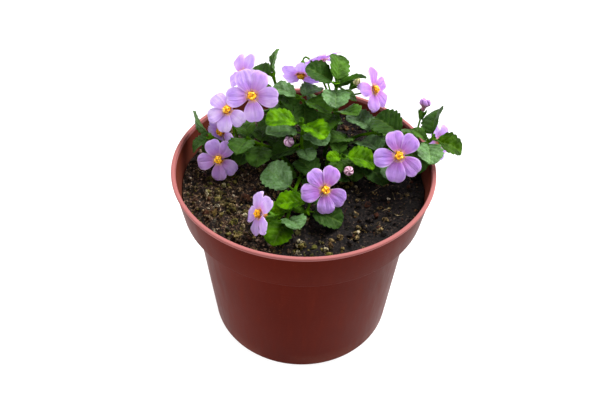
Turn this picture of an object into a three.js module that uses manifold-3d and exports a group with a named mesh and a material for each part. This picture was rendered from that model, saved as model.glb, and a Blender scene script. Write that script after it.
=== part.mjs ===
// A potted bacopa: a round terracotta-coloured plastic pot filled with soil, leafy stems, lilac
// five-petalled blooms with yellow eyes, and a few buds. Millimetres, +Z up, the origin is the
// middle of the pot's flat base and -Y is the front.
import * as THREE from 'three';
import { mergeVertices } from 'three/addons/utils/BufferGeometryUtils.js';
import Module from 'manifold-3d';

const wasm = await Module();
wasm.setup();

// Driving sizes
const CLEARANCE = 0.3;
const POT_RADIUS = 55;
const POT_HEIGHT = 88;
const WALL = 1.2;
const LIP_HEIGHT = 1.6;
const COLLAR_HEIGHT = 18.7;
const COLLAR_TOP_RADIUS = 54.5;
const COLLAR_FOOT_RADIUS = 52.3;
const BODY_TOP_RADIUS = 47.6;
const BODY_BASE_RADIUS = 43.1;
const BASE_EDGE = 0.7;
const POT_SIDES = 48;
const DRAIN_HOLES = 8;
const DRAIN_RADIUS = 3;
const DRAIN_CIRCLE = 34;
const SOIL_LEVEL = 77.3;
const SOIL_SIDES = 32;
const SOIL_RINGS = [12.5, 25, 38, 51.4];
const ROOT_DEPTH = 10;
const STEM_RADIUS = 0.8;
const STEM_SIDES = 5;
const STEM_STEPS = 2;
const STEM_RISE = 2.7;
const PEDICEL_RADIUS = 0.5;
const PEDICEL_SIDES = 4;
const PEDICEL_STEPS = 4;
const BLADE = 0.8;
const STALK_SHARE = 0.2;
const STALK_HALF = 0.55;
const STALK_FOOT = 0.3;
const STALK_SUNK = 0.25;
const LEAF_BEND = 30;
const LEAF_FOLD = 18;
const LEAF_WIDTH = 0.92;
const LARGE_LEAF = 12.8;
const SMALL_LEAF = 9.5;
const TOOTH_OUT = 1.04;
const NOTCH_IN = 0.9;
const PETAL = 0.7;
const PETAL_ROWS = [0.45, 0.84];
const THROAT_RADIUS = 1.8;
const THROAT_DEPTH = 0.6;
const CLEFT_SHARE = 0.19;
const CLEFT_RISE = 0.3;
const TUBE_LENGTH = 3.2;
const TUBE_RADIUS = 1.1;
const CALYX_LENGTH = 3;
const CALYX_RADIUS = 1.5;
const EYE_RADIUS = 1.75;
const EYE_HEIGHT = 0.95;
const BUD_RADIUS = 2.1;

// Leafy stems. route: where the stem's axis passes, from its root up. pairs: leaf pairs, each
// [station on the route, length, [heading, climb, roll] of one leaf and of its partner, partner's length].
const STEMS = {
  front_left: { route: [[-1, 1, 80], [-1.5, -4.5, 82], [-3.5, -13.3, 82.7], [-5, -23.3, 81.8],
    [-6, -28, 81.2]], pairs: [
    [1, 9, [170, 10, 0], [-20, 10, 0], 9],
    [2, 14, [145, 20, 28], [-30, 10, 0], 8],
    [3, 11, [-165, 0, 10], [10, -10, 0], 6],
    [4, 12.5, [-108, 10, 0], [-62, 12, 0], 10.5],
  ] },
  front: { route: [[5, 0, 80], [6.5, -8, 84.5], [4, -17, 85.3], [2, -24, 82]], pairs: [
    [1, 12, [130, 10, 0], [45, -5, 0], 12],
    [2.5, 11.5, [-168, 5, 0], [15, 0, 0], 9],
    [3, 14.5, [-26, -6, -12], [95, 0, 0], 6],
  ] },
  centre_right: { route: [[11, 2, 80], [12.5, 3.5, 85], [14.5, 2, 88.5], [15.7, -0.5, 91]], pairs: [
    [1, 12, [-115, 35, 0], [-45, 20, 0], 12],
    [2, 7, [-80, 10, 0], [90, 20, 0], 8],
    [3, 12.5, [12, -6, -12], [-150, 20, 20], 6],
  ] },
  right: { route: [[16, 7, 80], [25, 5.2, 84], [33.5, 4.3, 89.5], [41.5, 7, 96.5]], pairs: [
    [0.5, 11, [60, 0, 0], [-80, 5, 0], 10],
    [1, 13, [-55, 20, 0], [-130, 10, 0], 9],
    [2, 14, [130, 5, 0], [-70, 5, 0], 12],
    [3, 15, [135, 10, 20], [-55, -25, 0], 14],
  ] },
  right_tip: { route: [[15, 13, 80], [35, 14.5, 85], [46.5, 8.5, 91], [51, 4.5, 96], [52.5, 4, 98]], pairs: [
    [1, 12, [85, 5, 0], [-60, 0, 0], 12],
    [2, 10, [95, 10, 0], [-90, 5, 0], 10],
    [3, 12, [-85, 12, 0], [120, 5, 0], 7],
    [4, 11.5, [-12, -8, -15], [85, 25, 60], 13.5],
  ] },
  top: { route: [[9, 17, 80], [13.5, 20, 92], [12.8, 23.5, 103.5], [12.5, 22, 111]], pairs: [
    [0.6, 12, [120, 5, 0], [-150, 5, 0], 10],
    [1.4, 12.7, [-120, 15, 0], [-55, 25, 0], 12.7],
    [2.65, 12.5, [-92, 15, 0], [70, 0, 0], 9],
    [2.2, 8, [5, -5, 0], [-170, 0, 0], 7],
    [3, 12.4, [176, 35, 15], [80, 46, -40], 11.5],
    [3, 11, [20, 20, 40], [-100, 50, 0], 4],
  ] },
  top_left: { route: [[-3, 17, 80], [-8.5, 23, 90], [-11.5, 24, 103], [-14, 26, 112]], pairs: [
    [0.8, 12, [180, 10, 0], [70, 0, 0], 12],
    [1.5, 11, [135, -20, 0], [60, 10, 0], 10],
    [2.3, 10, [-45, 25, 0], [170, 5, 0], 10],
    [2.95, 10, [145, 10, 0], [95, 65, 80], 10],
  ] },
  centre: { route: [[4, 7, 80], [-1, 9, 87], [-1, 7.5, 98], [-1.5, 7, 102]], pairs: [
    [0.5, 11, [-100, 5, 0], [100, 10, 0], 10],
    [1, 12, [180, -10, 0], [-55, 5, 0], 9],
    [1.8, 13, [-170, 10, 0], [-45, 20, 0], 12],
    [2.9, 13, [-165, 25, 0], [-45, 15, 0], 12],
  ] },
  centre_back: { route: [[3, 13, 80], [3, 22, 90], [0, 21, 102], [-2.5, 19, 106]], pairs: [
    [0.5, 11, [90, 5, 0], [20, 0, 0], 11],
    [1, 12, [135, 5, 0], [10, 0, 0], 13],
    [1.9, 12, [35, 5, 0], [200, 10, 0], 11],
    [2.5, 12, [-25, 10, 0], [-105, 5, 0], 11],
    [3, 10.5, [50, 10, 0], [155, 10, 0], 10.5],
  ] },
  back_right: { route: [[10, 10, 80], [20.5, 17, 87], [28, 16, 91], [31, 15, 92]], pairs: [
    [0.6, 11, [60, 5, 0], [-90, 5, 0], 10],
    [1, 12, [-135, 25, 0], [-60, 15, 0], 10],
    [1.9, 11, [95, 15, 0], [-25, 0, 0], 10],
    [2.8, 13, [140, 20, 0], [30, 0, 0], 10],
  ] },
  left: { route: [[-8, 10, 80], [-24, 14.5, 84.5], [-34.5, 10.5, 88], [-39.5, 9, 92]], pairs: [
    [1, 11, [-100, 5, 0], [100, 10, 0], 11],
    [2.6, 8, [-150, -30, 0], [100, 10, 0], 7],
    [3, 12, [140, 20, 105], [175, -25, 0], 9],
  ] },
  mid_left: { route: [[-5, 4, 80], [-12, 12, 83.5], [-18.5, 11.5, 86.5], [-24, 12, 89]], pairs: [
    [1, 12, [-75, 10, 0], [110, 10, 0], 12],
    [2, 12, [-95, 10, 0], [95, 20, 0], 11],
    [3, 12, [-115, 15, 0], [125, 15, 0], 10],
  ] },
};

// Blooms. at: the throat. face: heading and climb of the face. size: across the petals. petals: how
// far round the face each petal stands. stem and station: where the flower stalk leaves its stem.
const BLOOMS = {
  bloom_1: {
    at: [-21.4, 7, 114.5], face: [-87, 37, 0], size: 21, petals: [-94, -20, 24, 94, 174],
    stem: 'top_left', station: 1.5,
  },
  bloom_2: {
    at: [-26.7, 26.5, 112.1], face: [-147, 30, 0], size: 20, petals: [-139, -62, 4, 73, 148],
    stem: 'top_left', station: 1.2,
  },
  bloom_3: {
    at: [-32.6, 14, 102.4], face: [-112, 50, 0], size: 18.5, petals: [-125, -62, 12, 112, 170],
    stem: 'left', station: 1.6,
  },
  bloom_4: {
    at: [-36, 13, 92.2], face: [-120, 10, 0], size: 14.5, petals: [-112, -50, 30, 110, 190],
    stem: 'left', station: 1.4,
  },
  bloom_5: {
    at: [-36, 1, 86.2], face: [-96, 37, 0], size: 18, petals: [-102, -28, 30, 120, 172],
    stem: 'left', station: 1.2,
  },
  bloom_6: {
    at: [-16.4, -31.5, 87], face: [-156, 28, 0], size: 17.7, petals: [-132, -55, 12, 104, 155],
    stem: 'front_left', station: 3.3,
  },
  bloom_7: {
    at: [8.6, -20.5, 90.2], face: [-68, 41, 0], size: 19.6, petals: [-86, -25, 35, 132, 190],
    stem: 'front', station: 0.6,
  },
  bloom_8: {
    at: [37.8, -7.5, 97.9], face: [-90, 45, 0], size: 20.6, petals: [-98, -14, 38, 130, 188],
    stem: 'right', station: 1.4,
  },
  bloom_9: {
    at: [29.6, 29.5, 104.5], face: [-32, 34, 0], size: 20, petals: [-62, 32, 91, 161, 226],
    stem: 'top', station: 1.7,
  },
  bloom_10: {
    at: [-2.3, 31.5, 109.8], face: [-95, -30, 0], size: 18.5, petals: [-126, -56, 10, 72, 140],
    stem: 'top', station: 1,
  },
  bloom_11: {
    at: [6.4, 44, 109.5], face: [115, 44, 0], size: 21.5, petals: [-105, -30, 30, 105, 180],
    stem: 'top', station: 0.9,
  },
  bloom_12: {
    at: [57, 10, 91.8], face: [-50, 25, 0], size: 16.5, petals: [-90, -12, 48, 124, 190],
    stem: 'right_tip', station: 3,
  },
};

// Closed buds. at: the bud's middle. face: heading and climb of its axis.
const BUDS = {
  bud_1: { at: [-6.5, 3.5, 95], face: [-100, 60, 0], stem: 'centre', station: 1.2, size: 1 },
  bud_2: { at: [18.5, -6, 88], face: [-90, 40, 0], stem: 'centre_right', station: 1.3, size: 0.95 },
  bud_3: { at: [22, 33.5, 106], face: [-20, 60, 0], stem: 'top', station: 2.6, size: 0.75 },
  bud_4: { at: [49, 14, 108], face: [60, 70, 0], stem: 'right_tip', station: 2, size: 1.1 },
};

const vec = (x, y, z) => new THREE.Vector3(x, y, z);
const rad = THREE.MathUtils.degToRad;
const sum = (...terms) => terms.reduce((total, term) => total.add(term), vec(0, 0, 0));
const times = (v, k) => v.clone().multiplyScalar(k);

// A repeatable draw between 0 and 1
function draw(seed) {
  const value = Math.sin(seed * 12.9898) * 43758.5453;
  return value - Math.floor(value);
}

function toSolid(geometry) {
  const bare = geometry.index ? geometry.toNonIndexed() : geometry.clone();
  bare.deleteAttribute('normal');
  bare.deleteAttribute('uv');
  const merged = mergeVertices(bare, 1e-4);
  const triVerts = [];
  const index = merged.index.array;
  for (let i = 0; i < index.length; i += 3) {
    const [a, b, c] = [index[i], index[i + 1], index[i + 2]];
    if (a !== b && b !== c && c !== a) triVerts.push(a, b, c);
  }
  return new wasm.Manifold(new wasm.Mesh({
    numProp: 3,
    vertProperties: merged.attributes.position.array,
    triVerts: new Uint32Array(triVerts),
  }));
}

function toGeometry(solid) {
  const mesh = solid.getMesh();
  const geometry = new THREE.BufferGeometry();
  geometry.setAttribute('position', new THREE.BufferAttribute(mesh.vertProperties, 3));
  geometry.setIndex(new THREE.BufferAttribute(mesh.triVerts, 1));
  geometry.computeVertexNormals();
  return geometry;
}

// Three axes of a thing that points along heading and climb and is rolled about that direction
function axes([heading, climb, roll]) {
  const [h, c, r] = [rad(heading), rad(climb), rad(roll)];
  const along = vec(Math.cos(c) * Math.cos(h), Math.cos(c) * Math.sin(h), Math.sin(c));
  const level = vec(-Math.sin(c) * Math.cos(h), -Math.sin(c) * Math.sin(h), Math.cos(c));
  const side = level.clone().cross(along);
  const up = times(level, Math.cos(r)).addScaledVector(side, Math.sin(r));
  return { along, up, across: up.clone().cross(along) };
}

// A closed plate: triangles of the top face, its outline in the same sense, and the way down
function plate(triangles, outline, down) {
  const lower = (point) => point.clone().add(down);
  const corners = [];
  for (const [a, b, c] of triangles) {
    corners.push(a, b, c, lower(a), lower(c), lower(b));
  }
  outline.forEach((a, i) => {
    const b = outline[(i + 1) % outline.length];
    corners.push(b, a, lower(a), b, lower(a), lower(b));
  });
  return toSolid(new THREE.BufferGeometry().setFromPoints(corners));
}

// Top-face triangles between rows of left, middle and right points that close on an apex. A row
// may hold the tips of the teeth that stand between it and the next row, leftTip and rightTip.
function bladeTriangles(rows, apex) {
  const triangles = [];
  const fan = (...corners) => {
    const polygon = corners.filter(Boolean);
    for (let k = 1; k + 1 < polygon.length; k += 1) {
      triangles.push([polygon[0], polygon[k], polygon[k + 1]]);
    }
  };
  for (let i = 0; i + 1 < rows.length; i += 1) {
    const [near, far] = [rows[i], rows[i + 1]];
    fan(near.mid, far.mid, far.right, near.rightTip, near.right);
    fan(near.mid, near.left, near.leftTip, far.left, far.mid);
  }
  const last = rows[rows.length - 1];
  fan(last.mid, apex, last.right);
  fan(last.left, apex, last.mid);
  return triangles;
}

// Half width of a leaf along its length, 1 at the widest
function leafShape(s) {
  const widest = Math.sqrt(0.5 / 0.95) * (0.45 / 0.95) ** 0.45;
  return (Math.sqrt(s) * (1 - s) ** 0.45) / widest;
}

// A point of a leaf: s runs from the blade's base to its tip, q from one edge to the other
function leafPoint(joint, frame, length, s, q) {
  const bend = rad(LEAF_BEND);
  const reach = length * (STALK_SHARE + Math.sin(bend * s) / bend);
  const width = q * leafShape(s) * length * LEAF_WIDTH * 0.5;
  const droop = (-length * (1 - Math.cos(bend * s))) / bend;
  const rise = droop + Math.abs(width) * Math.tan(rad(LEAF_FOLD));
  return sum(joint, times(frame.along, reach), times(frame.across, width), times(frame.up, rise));
}

// How many teeth a leaf of this length has on each side
function toothCount(length) {
  if (length > LARGE_LEAF) return 3;
  return length > SMALL_LEAF ? 2 : 1;
}

// A toothed blade on its stalk, from its joint on the stem's axis; grow fattens it all round, and
// bladeOnly leaves the stalk off
function leafSolid(joint, frame, length, grow = 0, bladeOnly = false) {
  const thick = BLADE + 2 * grow;
  const lift = times(frame.up, thick / 2);
  const size = length + grow;
  const stalkHalf = times(frame.across, STALK_HALF + grow);
  const midPoint = (s) => leafPoint(joint, frame, size, s, 0).add(lift);
  const edgePoint = (s, q) => leafPoint(joint, frame, size, s, q)
    .addScaledVector(frame.across, Math.sign(q) * grow)
    .add(lift);
  const foot = sum(joint, times(frame.along, bladeOnly ? 0.8 * STALK_SHARE * length : -STALK_SUNK), lift);
  const footHalf = times(frame.across, STALK_FOOT + grow);
  const [footLeft, footRight] = [foot.clone().sub(footHalf), foot.clone().add(footHalf)];
  const base = midPoint(0);
  const rows = [{ left: base.clone().sub(stalkHalf), mid: base, right: base.clone().add(stalkHalf) }];
  const teeth = toothCount(length);
  const step = 1 / (teeth + 0.7);
  for (let i = 0; i < teeth; i += 1) {
    const last = rows[rows.length - 1];
    last.leftTip = edgePoint((i + 0.7) * step, -TOOTH_OUT);
    last.rightTip = edgePoint((i + 0.7) * step, TOOTH_OUT);
    rows.push({
      left: edgePoint((i + 1) * step, -NOTCH_IN),
      mid: midPoint((i + 1) * step),
      right: edgePoint((i + 1) * step, NOTCH_IN),
    });
  }
  const apex = midPoint(1);
  const lefts = rows.flatMap((row) => (row.leftTip ? [row.left, row.leftTip] : [row.left]));
  const rights = rows.flatMap((row) => (row.rightTip ? [row.right, row.rightTip] : [row.right]));
  const outline = [footLeft, ...lefts, apex, ...rights.reverse(), footRight];
  const triangles = [
    [footLeft, rows[0].left, rows[0].mid],
    [footLeft, rows[0].mid, rows[0].right],
    [footLeft, rows[0].right, footRight],
    ...bladeTriangles(rows, apex),
  ];
  return plate(triangles, outline, times(frame.up, -thick));
}

// Half width of a petal along its length, 1 at the widest
function petalShape(s) {
  const widest = (0.75 / 1.11) ** 0.75 * (0.36 / 1.11) ** 0.36;
  return (s ** 0.75 * (1 - s) ** 0.36) / widest;
}

// The five petals of a bloom, sized a little apart as on the plant
function petalsOf(bloom, number) {
  return bloom.petals.map((angle, k) => ({
    angle,
    length: (bloom.size / 2 - THROAT_RADIUS) * (0.95 + 0.1 * draw(number * 10 + k + 5)),
  }));
}

// A point of a petal; room is the angle it may take up on that side before its neighbour
function petalPoint(centre, frame, petal, s, q, room) {
  const a = rad(petal.angle);
  const outward = times(frame.up, Math.cos(a)).addScaledVector(frame.across, Math.sin(a));
  const sideways = frame.along.clone().cross(outward);
  const reach = THROAT_RADIUS + petal.length * s;
  const wanted = Math.max(0.16 * (1 - s), 0.5 * petalShape(s)) * petal.length;
  const width = q * Math.min(wanted, reach * Math.tan(rad(room)) - 0.25);
  const rise = petal.length * (0.22 * s - 0.24 * s * s);
  return sum(centre, times(outward, reach), times(sideways, width), times(frame.along, rise));
}

// The face of a bloom: five petals joined round the throat, in one plate on a short tube
function corollaSolid(bloom, number) {
  const centre = vec(...bloom.at);
  const frame = axes(bloom.face);
  const petals = petalsOf(bloom, number);
  const gap = (k) => ((petals[(k + 1) % 5].angle - petals[k % 5].angle + 720) % 360) / 2;
  const cleft = (k) => {
    const a = rad(petals[k % 5].angle + gap(k));
    const outward = times(frame.up, Math.cos(a)).addScaledVector(frame.across, Math.sin(a));
    return sum(centre, times(outward, CLEFT_SHARE * bloom.size), times(frame.along, CLEFT_RISE));
  };
  const middle = sum(centre, times(frame.along, -THROAT_DEPTH));
  const triangles = [];
  const outline = [];
  petals.forEach((petal, k) => {
    const rooms = { left: gap((k + 4) % 5), right: gap(k) };
    const rows = [{ left: cleft(k + 4), mid: petalPoint(centre, frame, petal, 0, 0, 30), right: cleft(k) }];
    for (const s of PETAL_ROWS) {
      rows.push({
        left: petalPoint(centre, frame, petal, s, 1, rooms.left),
        mid: petalPoint(centre, frame, petal, s, 0, 30),
        right: petalPoint(centre, frame, petal, s, -1, rooms.right),
      });
    }
    const apex = petalPoint(centre, frame, petal, 1, 0, 30);
    for (const [a, b, c] of bladeTriangles(rows, apex)) triangles.push([a, c, b]);
    triangles.push([middle, rows[0].mid, rows[0].left], [middle, rows[0].right, rows[0].mid]);
    const rights = rows.slice(1).map((row) => row.right);
    outline.push(...rows.map((row) => row.left), apex, ...rights.reverse());
  });
  const ordered = outline.reverse();
  const disc = plate(triangles, ordered, times(frame.along, -PETAL));
  return disc.add(rod(
    sum(centre, times(frame.along, -THROAT_DEPTH - PETAL / 2)),
    sum(centre, times(frame.along, -TUBE_LENGTH)),
    TUBE_RADIUS * 1.2,
    TUBE_RADIUS,
    6,
  ));
}

// A straight round rod between two points, its first end of radius r1 and its second of radius r2
function rod(from, to, r1, r2, sides) {
  const way = to.clone().sub(from);
  const geometry = new THREE.CylinderGeometry(r2, r1, way.length(), sides);
  const turn = new THREE.Quaternion().setFromUnitVectors(vec(0, 1, 0), way.clone().normalize());
  geometry.applyQuaternion(turn);
  geometry.translate(...from.clone().add(to).multiplyScalar(0.5).toArray());
  return toSolid(geometry);
}

// A round bar that follows a curve
function bar(curve, radius, sides, steps) {
  const section = new THREE.Shape();
  for (let i = 0; i < sides; i += 1) {
    const a = (i / sides) * Math.PI * 2;
    if (i === 0) section.moveTo(radius * Math.cos(a), radius * Math.sin(a));
    else section.lineTo(radius * Math.cos(a), radius * Math.sin(a));
  }
  return toSolid(new THREE.ExtrudeGeometry(section, { steps, bevelEnabled: false, extrudePath: curve }));
}

function stemCurve(name) {
  const points = STEMS[name].route.map((place) => vec(...place));
  return new THREE.CatmullRomCurve3(points, false, 'catmullrom', 0.5);
}

function stationPoint(name, station) {
  return stemCurve(name).getPoint(station / (STEMS[name].route.length - 1));
}

// The stalk of a bloom or bud, and the green cup that holds it, behind the point called seat
function stalkSolids(stem, station, seat, along) {
  const start = stationPoint(stem, station);
  const back = sum(seat, times(along, -CALYX_LENGTH));
  const span = start.distanceTo(back);
  const curve = new THREE.CubicBezierCurve3(
    start,
    sum(start, vec(0, 0, 0.35 * span)),
    sum(back, times(along, -0.35 * span)),
    sum(back, times(along, 0.5)),
  );
  return [
    bar(curve, PEDICEL_RADIUS, PEDICEL_SIDES, PEDICEL_STEPS),
    rod(back, seat, PEDICEL_RADIUS * 1.4, CALYX_RADIUS, 6),
  ];
}

function potSolid() {
  const shelf = POT_HEIGHT - COLLAR_HEIGHT;
  const profile = [
    [0, 0],
    [BODY_BASE_RADIUS - BASE_EDGE, 0],
    [BODY_BASE_RADIUS, BASE_EDGE],
    [BODY_TOP_RADIUS, shelf - WALL],
    [COLLAR_FOOT_RADIUS, shelf],
    [COLLAR_TOP_RADIUS, POT_HEIGHT - LIP_HEIGHT],
    [POT_RADIUS, POT_HEIGHT - 0.7 * LIP_HEIGHT],
    [POT_RADIUS - 0.4, POT_HEIGHT],
    [COLLAR_TOP_RADIUS - WALL, POT_HEIGHT - 0.2],
    [COLLAR_FOOT_RADIUS - WALL, shelf + WALL],
    [BODY_TOP_RADIUS - WALL, shelf],
    [BODY_BASE_RADIUS - WALL, WALL],
    [0, WALL],
  ].map(([r, z]) => new THREE.Vector2(r, z));
  let pot = toSolid(new THREE.LatheGeometry(profile, POT_SIDES).rotateX(Math.PI / 2));
  for (let i = 0; i < DRAIN_HOLES; i += 1) {
    const a = ((i + 0.5) / DRAIN_HOLES) * Math.PI * 2;
    const [x, y] = [DRAIN_CIRCLE * Math.cos(a), DRAIN_CIRCLE * Math.sin(a)];
    pot = pot.subtract(rod(vec(x, y, -1), vec(x, y, WALL + 1), DRAIN_RADIUS, DRAIN_RADIUS, 10));
  }
  return pot;
}

// Height of the soil's surface
function soilHeight(x, y) {
  return SOIL_LEVEL
    + 0.35 * Math.sin(0.21 * x + 0.5) * Math.cos(0.17 * y)
    + 0.3 * Math.sin(0.33 * x - 0.27 * y + 1)
    + 0.25 * Math.sin(0.31 * x + 0.45 * y);
}

// Soil that fills the pot up to its surface, with a plain hole for the foot of each stem
function soilSolid() {
  const shelf = POT_HEIGHT - COLLAR_HEIGHT;
  const inner = WALL + CLEARANCE;
  const sideRings = [
    [COLLAR_FOOT_RADIUS - inner - 0.2, shelf + WALL + CLEARANCE + 0.1],
    [BODY_TOP_RADIUS - inner - 0.2, shelf + CLEARANCE + 0.1],
    [BODY_BASE_RADIUS - inner - 0.2, WALL + CLEARANCE],
  ];
  const around = (r, z) => Array.from({ length: SOIL_SIDES }, (_, i) => {
    const a = (i / SOIL_SIDES) * Math.PI * 2;
    const [x, y] = [r * Math.cos(a), r * Math.sin(a)];
    return vec(x, y, z ?? soilHeight(x, y));
  });
  const rings = [...SOIL_RINGS.map((r) => around(r)), ...sideRings.map(([r, z]) => around(r, z))];
  const top = vec(0, 0, soilHeight(0, 0));
  const floor = vec(0, 0, WALL + CLEARANCE);
  const corners = [];
  for (let i = 0; i < SOIL_SIDES; i += 1) {
    const j = (i + 1) % SOIL_SIDES;
    corners.push(top, rings[0][i], rings[0][j]);
    for (let k = 0; k + 1 < rings.length; k += 1) {
      const [near, far] = [rings[k], rings[k + 1]];
      corners.push(near[i], far[i], far[j], near[i], far[j], near[j]);
    }
    const last = rings[rings.length - 1];
    corners.push(floor, last[j], last[i]);
  }
  let soil = toSolid(new THREE.BufferGeometry().setFromPoints(corners));
  for (const { route: [[x, y, z]] } of Object.values(STEMS)) {
    const hole = STEM_RADIUS + CLEARANCE + 0.15;
    const bottom = z - STEM_RISE - ROOT_DEPTH - CLEARANCE;
    soil = soil.subtract(rod(vec(x, y, bottom), vec(x, y, z + 2), hole, hole, 6));
  }
  return soil;
}

// A stem without its leaves: the foot in the soil, the stem itself, and the stalks it carries
function bareStemSolids(name) {
  const { route } = STEMS[name];
  const [x, y, z] = route[0];
  const solids = [
    rod(vec(x, y, z - STEM_RISE - ROOT_DEPTH), vec(x, y, z + 0.7), STEM_RADIUS, STEM_RADIUS, 6),
    bar(stemCurve(name), STEM_RADIUS, STEM_SIDES, STEM_STEPS * (route.length - 1) + 1),
  ];
  for (const bloom of Object.values(BLOOMS)) {
    if (bloom.stem !== name) continue;
    const { along } = axes(bloom.face);
    const seat = sum(vec(...bloom.at), times(along, -TUBE_LENGTH - CLEARANCE));
    solids.push(...stalkSolids(name, bloom.station, seat, along));
  }
  for (const bud of Object.values(BUDS)) {
    if (bud.stem !== name) continue;
    const { along } = axes(bud.face);
    const seat = sum(vec(...bud.at), times(along, -BUD_RADIUS * bud.size * 1.25 - CLEARANCE));
    solids.push(...stalkSolids(name, bud.station, seat, along));
  }
  return solids;
}

function eyeSolid(bloom) {
  const { along } = axes(bloom.face);
  const geometry = new THREE.SphereGeometry(EYE_RADIUS, 6, 4);
  geometry.scale(1, EYE_HEIGHT / EYE_RADIUS, 1);
  geometry.applyQuaternion(new THREE.Quaternion().setFromUnitVectors(vec(0, 1, 0), along));
  geometry.translate(...sum(vec(...bloom.at), times(along, EYE_HEIGHT + CLEARANCE + 0.1)).toArray());
  return toSolid(geometry);
}

function budSolid(bud) {
  const { along } = axes(bud.face);
  const geometry = new THREE.SphereGeometry(BUD_RADIUS * bud.size, 7, 5);
  geometry.scale(1, 1.25, 1);
  geometry.applyQuaternion(new THREE.Quaternion().setFromUnitVectors(vec(0, 1, 0), along));
  geometry.translate(...bud.at);
  return toSolid(geometry);
}

function boxOf(solid) {
  const { min, max } = solid.boundingBox();
  return new THREE.Box3(vec(...min), vec(...max));
}

function meets(one, other) {
  return one.box.intersectsBox(other.box) && !one.solid.intersect(other.solid).isEmpty();
}

// The turns a leaf may take to grow clear of its neighbours, the least first: heading, climb, scale
function leafTurns() {
  const turns = [];
  for (const scale of [1, 0.85, 0.7]) {
    for (const reach of [0, 8, 16, 24, 32]) {
      for (const [h, c] of [[0, 1], [1, 0], [-1, 0], [0, -1], [1, 1], [-1, 1], [1, -1], [-1, -1]]) {
        if (reach > 0 || (h === 0 && c === 1)) turns.push([h * reach, c * reach, scale]);
      }
    }
  }
  return turns;
}

// The leaves of all stems, from the tips down, each bent clear of the blooms, stalks, stems and
// leaves already there. A leaf that finds no room is left out.
function growLeaves(taken) {
  const leaves = {};
  for (const name of Object.keys(STEMS)) leaves[name] = [];
  const place = (name, joint, [heading, climb, roll], length) => {
    for (const [dh, dc, scale] of leafTurns()) {
      const frame = axes([heading + dh, climb + dc, roll]);
      const size = length * scale;
      const whole = leafSolid(joint, frame, size, CLEARANCE);
      const blade = leafSolid(joint, frame, size, CLEARANCE, true);
      const [wholeEntry, bladeEntry] = [whole, blade].map((solid) => ({ solid, box: boxOf(solid) }));
      if (taken.some((entry) => meets(entry.owner === name ? bladeEntry : wholeEntry, entry))) continue;
      const solid = leafSolid(joint, frame, size);
      leaves[name].push(solid);
      taken.push({ owner: name, solid, box: boxOf(solid) });
      return;
    }
  };
  const mostPairs = Math.max(...Object.values(STEMS).map(({ pairs }) => pairs.length));
  for (let fromTip = 1; fromTip <= mostPairs; fromTip += 1) {
    for (const [name, { pairs }] of Object.entries(STEMS)) {
      if (fromTip > pairs.length) continue;
      const [station, length, first, second, secondLength] = pairs[pairs.length - fromTip];
      const joint = stationPoint(name, station);
      place(name, joint, first, length);
      place(name, joint, second, secondLength);
    }
  }
  return leaves;
}

const MATERIALS = {
  pot_plastic: { color: 0x7a4034, roughness: 0.5, metalness: 0 },
  potting_soil: { color: 0x2a211b, roughness: 1, metalness: 0 },
  leaf_green: { color: 0x3c6a24, roughness: 0.55, metalness: 0 },
  petal_lilac: { color: 0xc49be8, roughness: 0.6, metalness: 0 },
  eye_yellow: { color: 0xf0a512, roughness: 0.7, metalness: 0 },
  bud_pink: { color: 0xb98aa8, roughness: 0.6, metalness: 0 },
};

function addMesh(group, name, solid, materialName) {
  const material = new THREE.MeshStandardMaterial({ name: materialName, ...MATERIALS[materialName] });
  const mesh = new THREE.Mesh(toGeometry(solid), material);
  mesh.name = name;
  group.add(mesh);
}

function buildPlant() {
  const group = new THREE.Group();
  const taken = [];
  const keep = (owner, solid) => {
    taken.push({ owner, solid, box: boxOf(solid) });
    return solid;
  };
  addMesh(group, 'pot', keep('pot', potSolid()), 'pot_plastic');
  addMesh(group, 'soil', keep('soil', soilSolid()), 'potting_soil');
  Object.entries(BLOOMS).forEach(([name, bloom], number) => {
    addMesh(group, name, keep(name, corollaSolid(bloom, number + 1)), 'petal_lilac');
    addMesh(group, name.replace('bloom', 'eye'), keep(name, eyeSolid(bloom)), 'eye_yellow');
  });
  for (const [name, bud] of Object.entries(BUDS)) {
    addMesh(group, name, keep(name, budSolid(bud)), name === 'bud_3' ? 'leaf_green' : 'bud_pink');
  }
  const bare = {};
  for (const name of Object.keys(STEMS)) {
    bare[name] = bareStemSolids(name);
    bare[name].forEach((solid) => keep(name, solid));
  }
  const leaves = growLeaves(taken);
  for (const name of Object.keys(STEMS)) {
    const whole = [...bare[name], ...leaves[name]].reduce((body, solid) => body.add(solid));
    addMesh(group, `stem_${name}`, whole, 'leaf_green');
  }
  return group;
}

export default buildPlant();
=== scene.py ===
"""The looks of the potted bacopa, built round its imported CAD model. Lengths are millimetres until a
piece is made, when they become metres."""
import math

import bpy
import numpy as np
from mathutils import Matrix, Vector, kdtree, noise


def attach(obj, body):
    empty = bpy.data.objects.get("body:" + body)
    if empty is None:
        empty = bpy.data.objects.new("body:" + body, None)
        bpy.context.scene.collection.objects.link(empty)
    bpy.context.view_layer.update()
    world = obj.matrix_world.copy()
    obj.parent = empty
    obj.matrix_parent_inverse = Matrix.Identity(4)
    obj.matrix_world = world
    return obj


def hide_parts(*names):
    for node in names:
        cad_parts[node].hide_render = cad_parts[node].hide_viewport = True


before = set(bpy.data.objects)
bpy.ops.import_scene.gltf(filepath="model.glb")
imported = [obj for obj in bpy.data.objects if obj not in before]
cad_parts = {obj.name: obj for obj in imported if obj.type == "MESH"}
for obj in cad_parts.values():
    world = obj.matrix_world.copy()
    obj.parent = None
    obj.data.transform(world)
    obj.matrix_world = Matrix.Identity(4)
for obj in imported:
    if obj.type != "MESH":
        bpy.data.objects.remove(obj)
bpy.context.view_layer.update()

# A millimetre in metres, and a full turn in radians
MM = 0.001
TURN = 2 * math.pi

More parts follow.
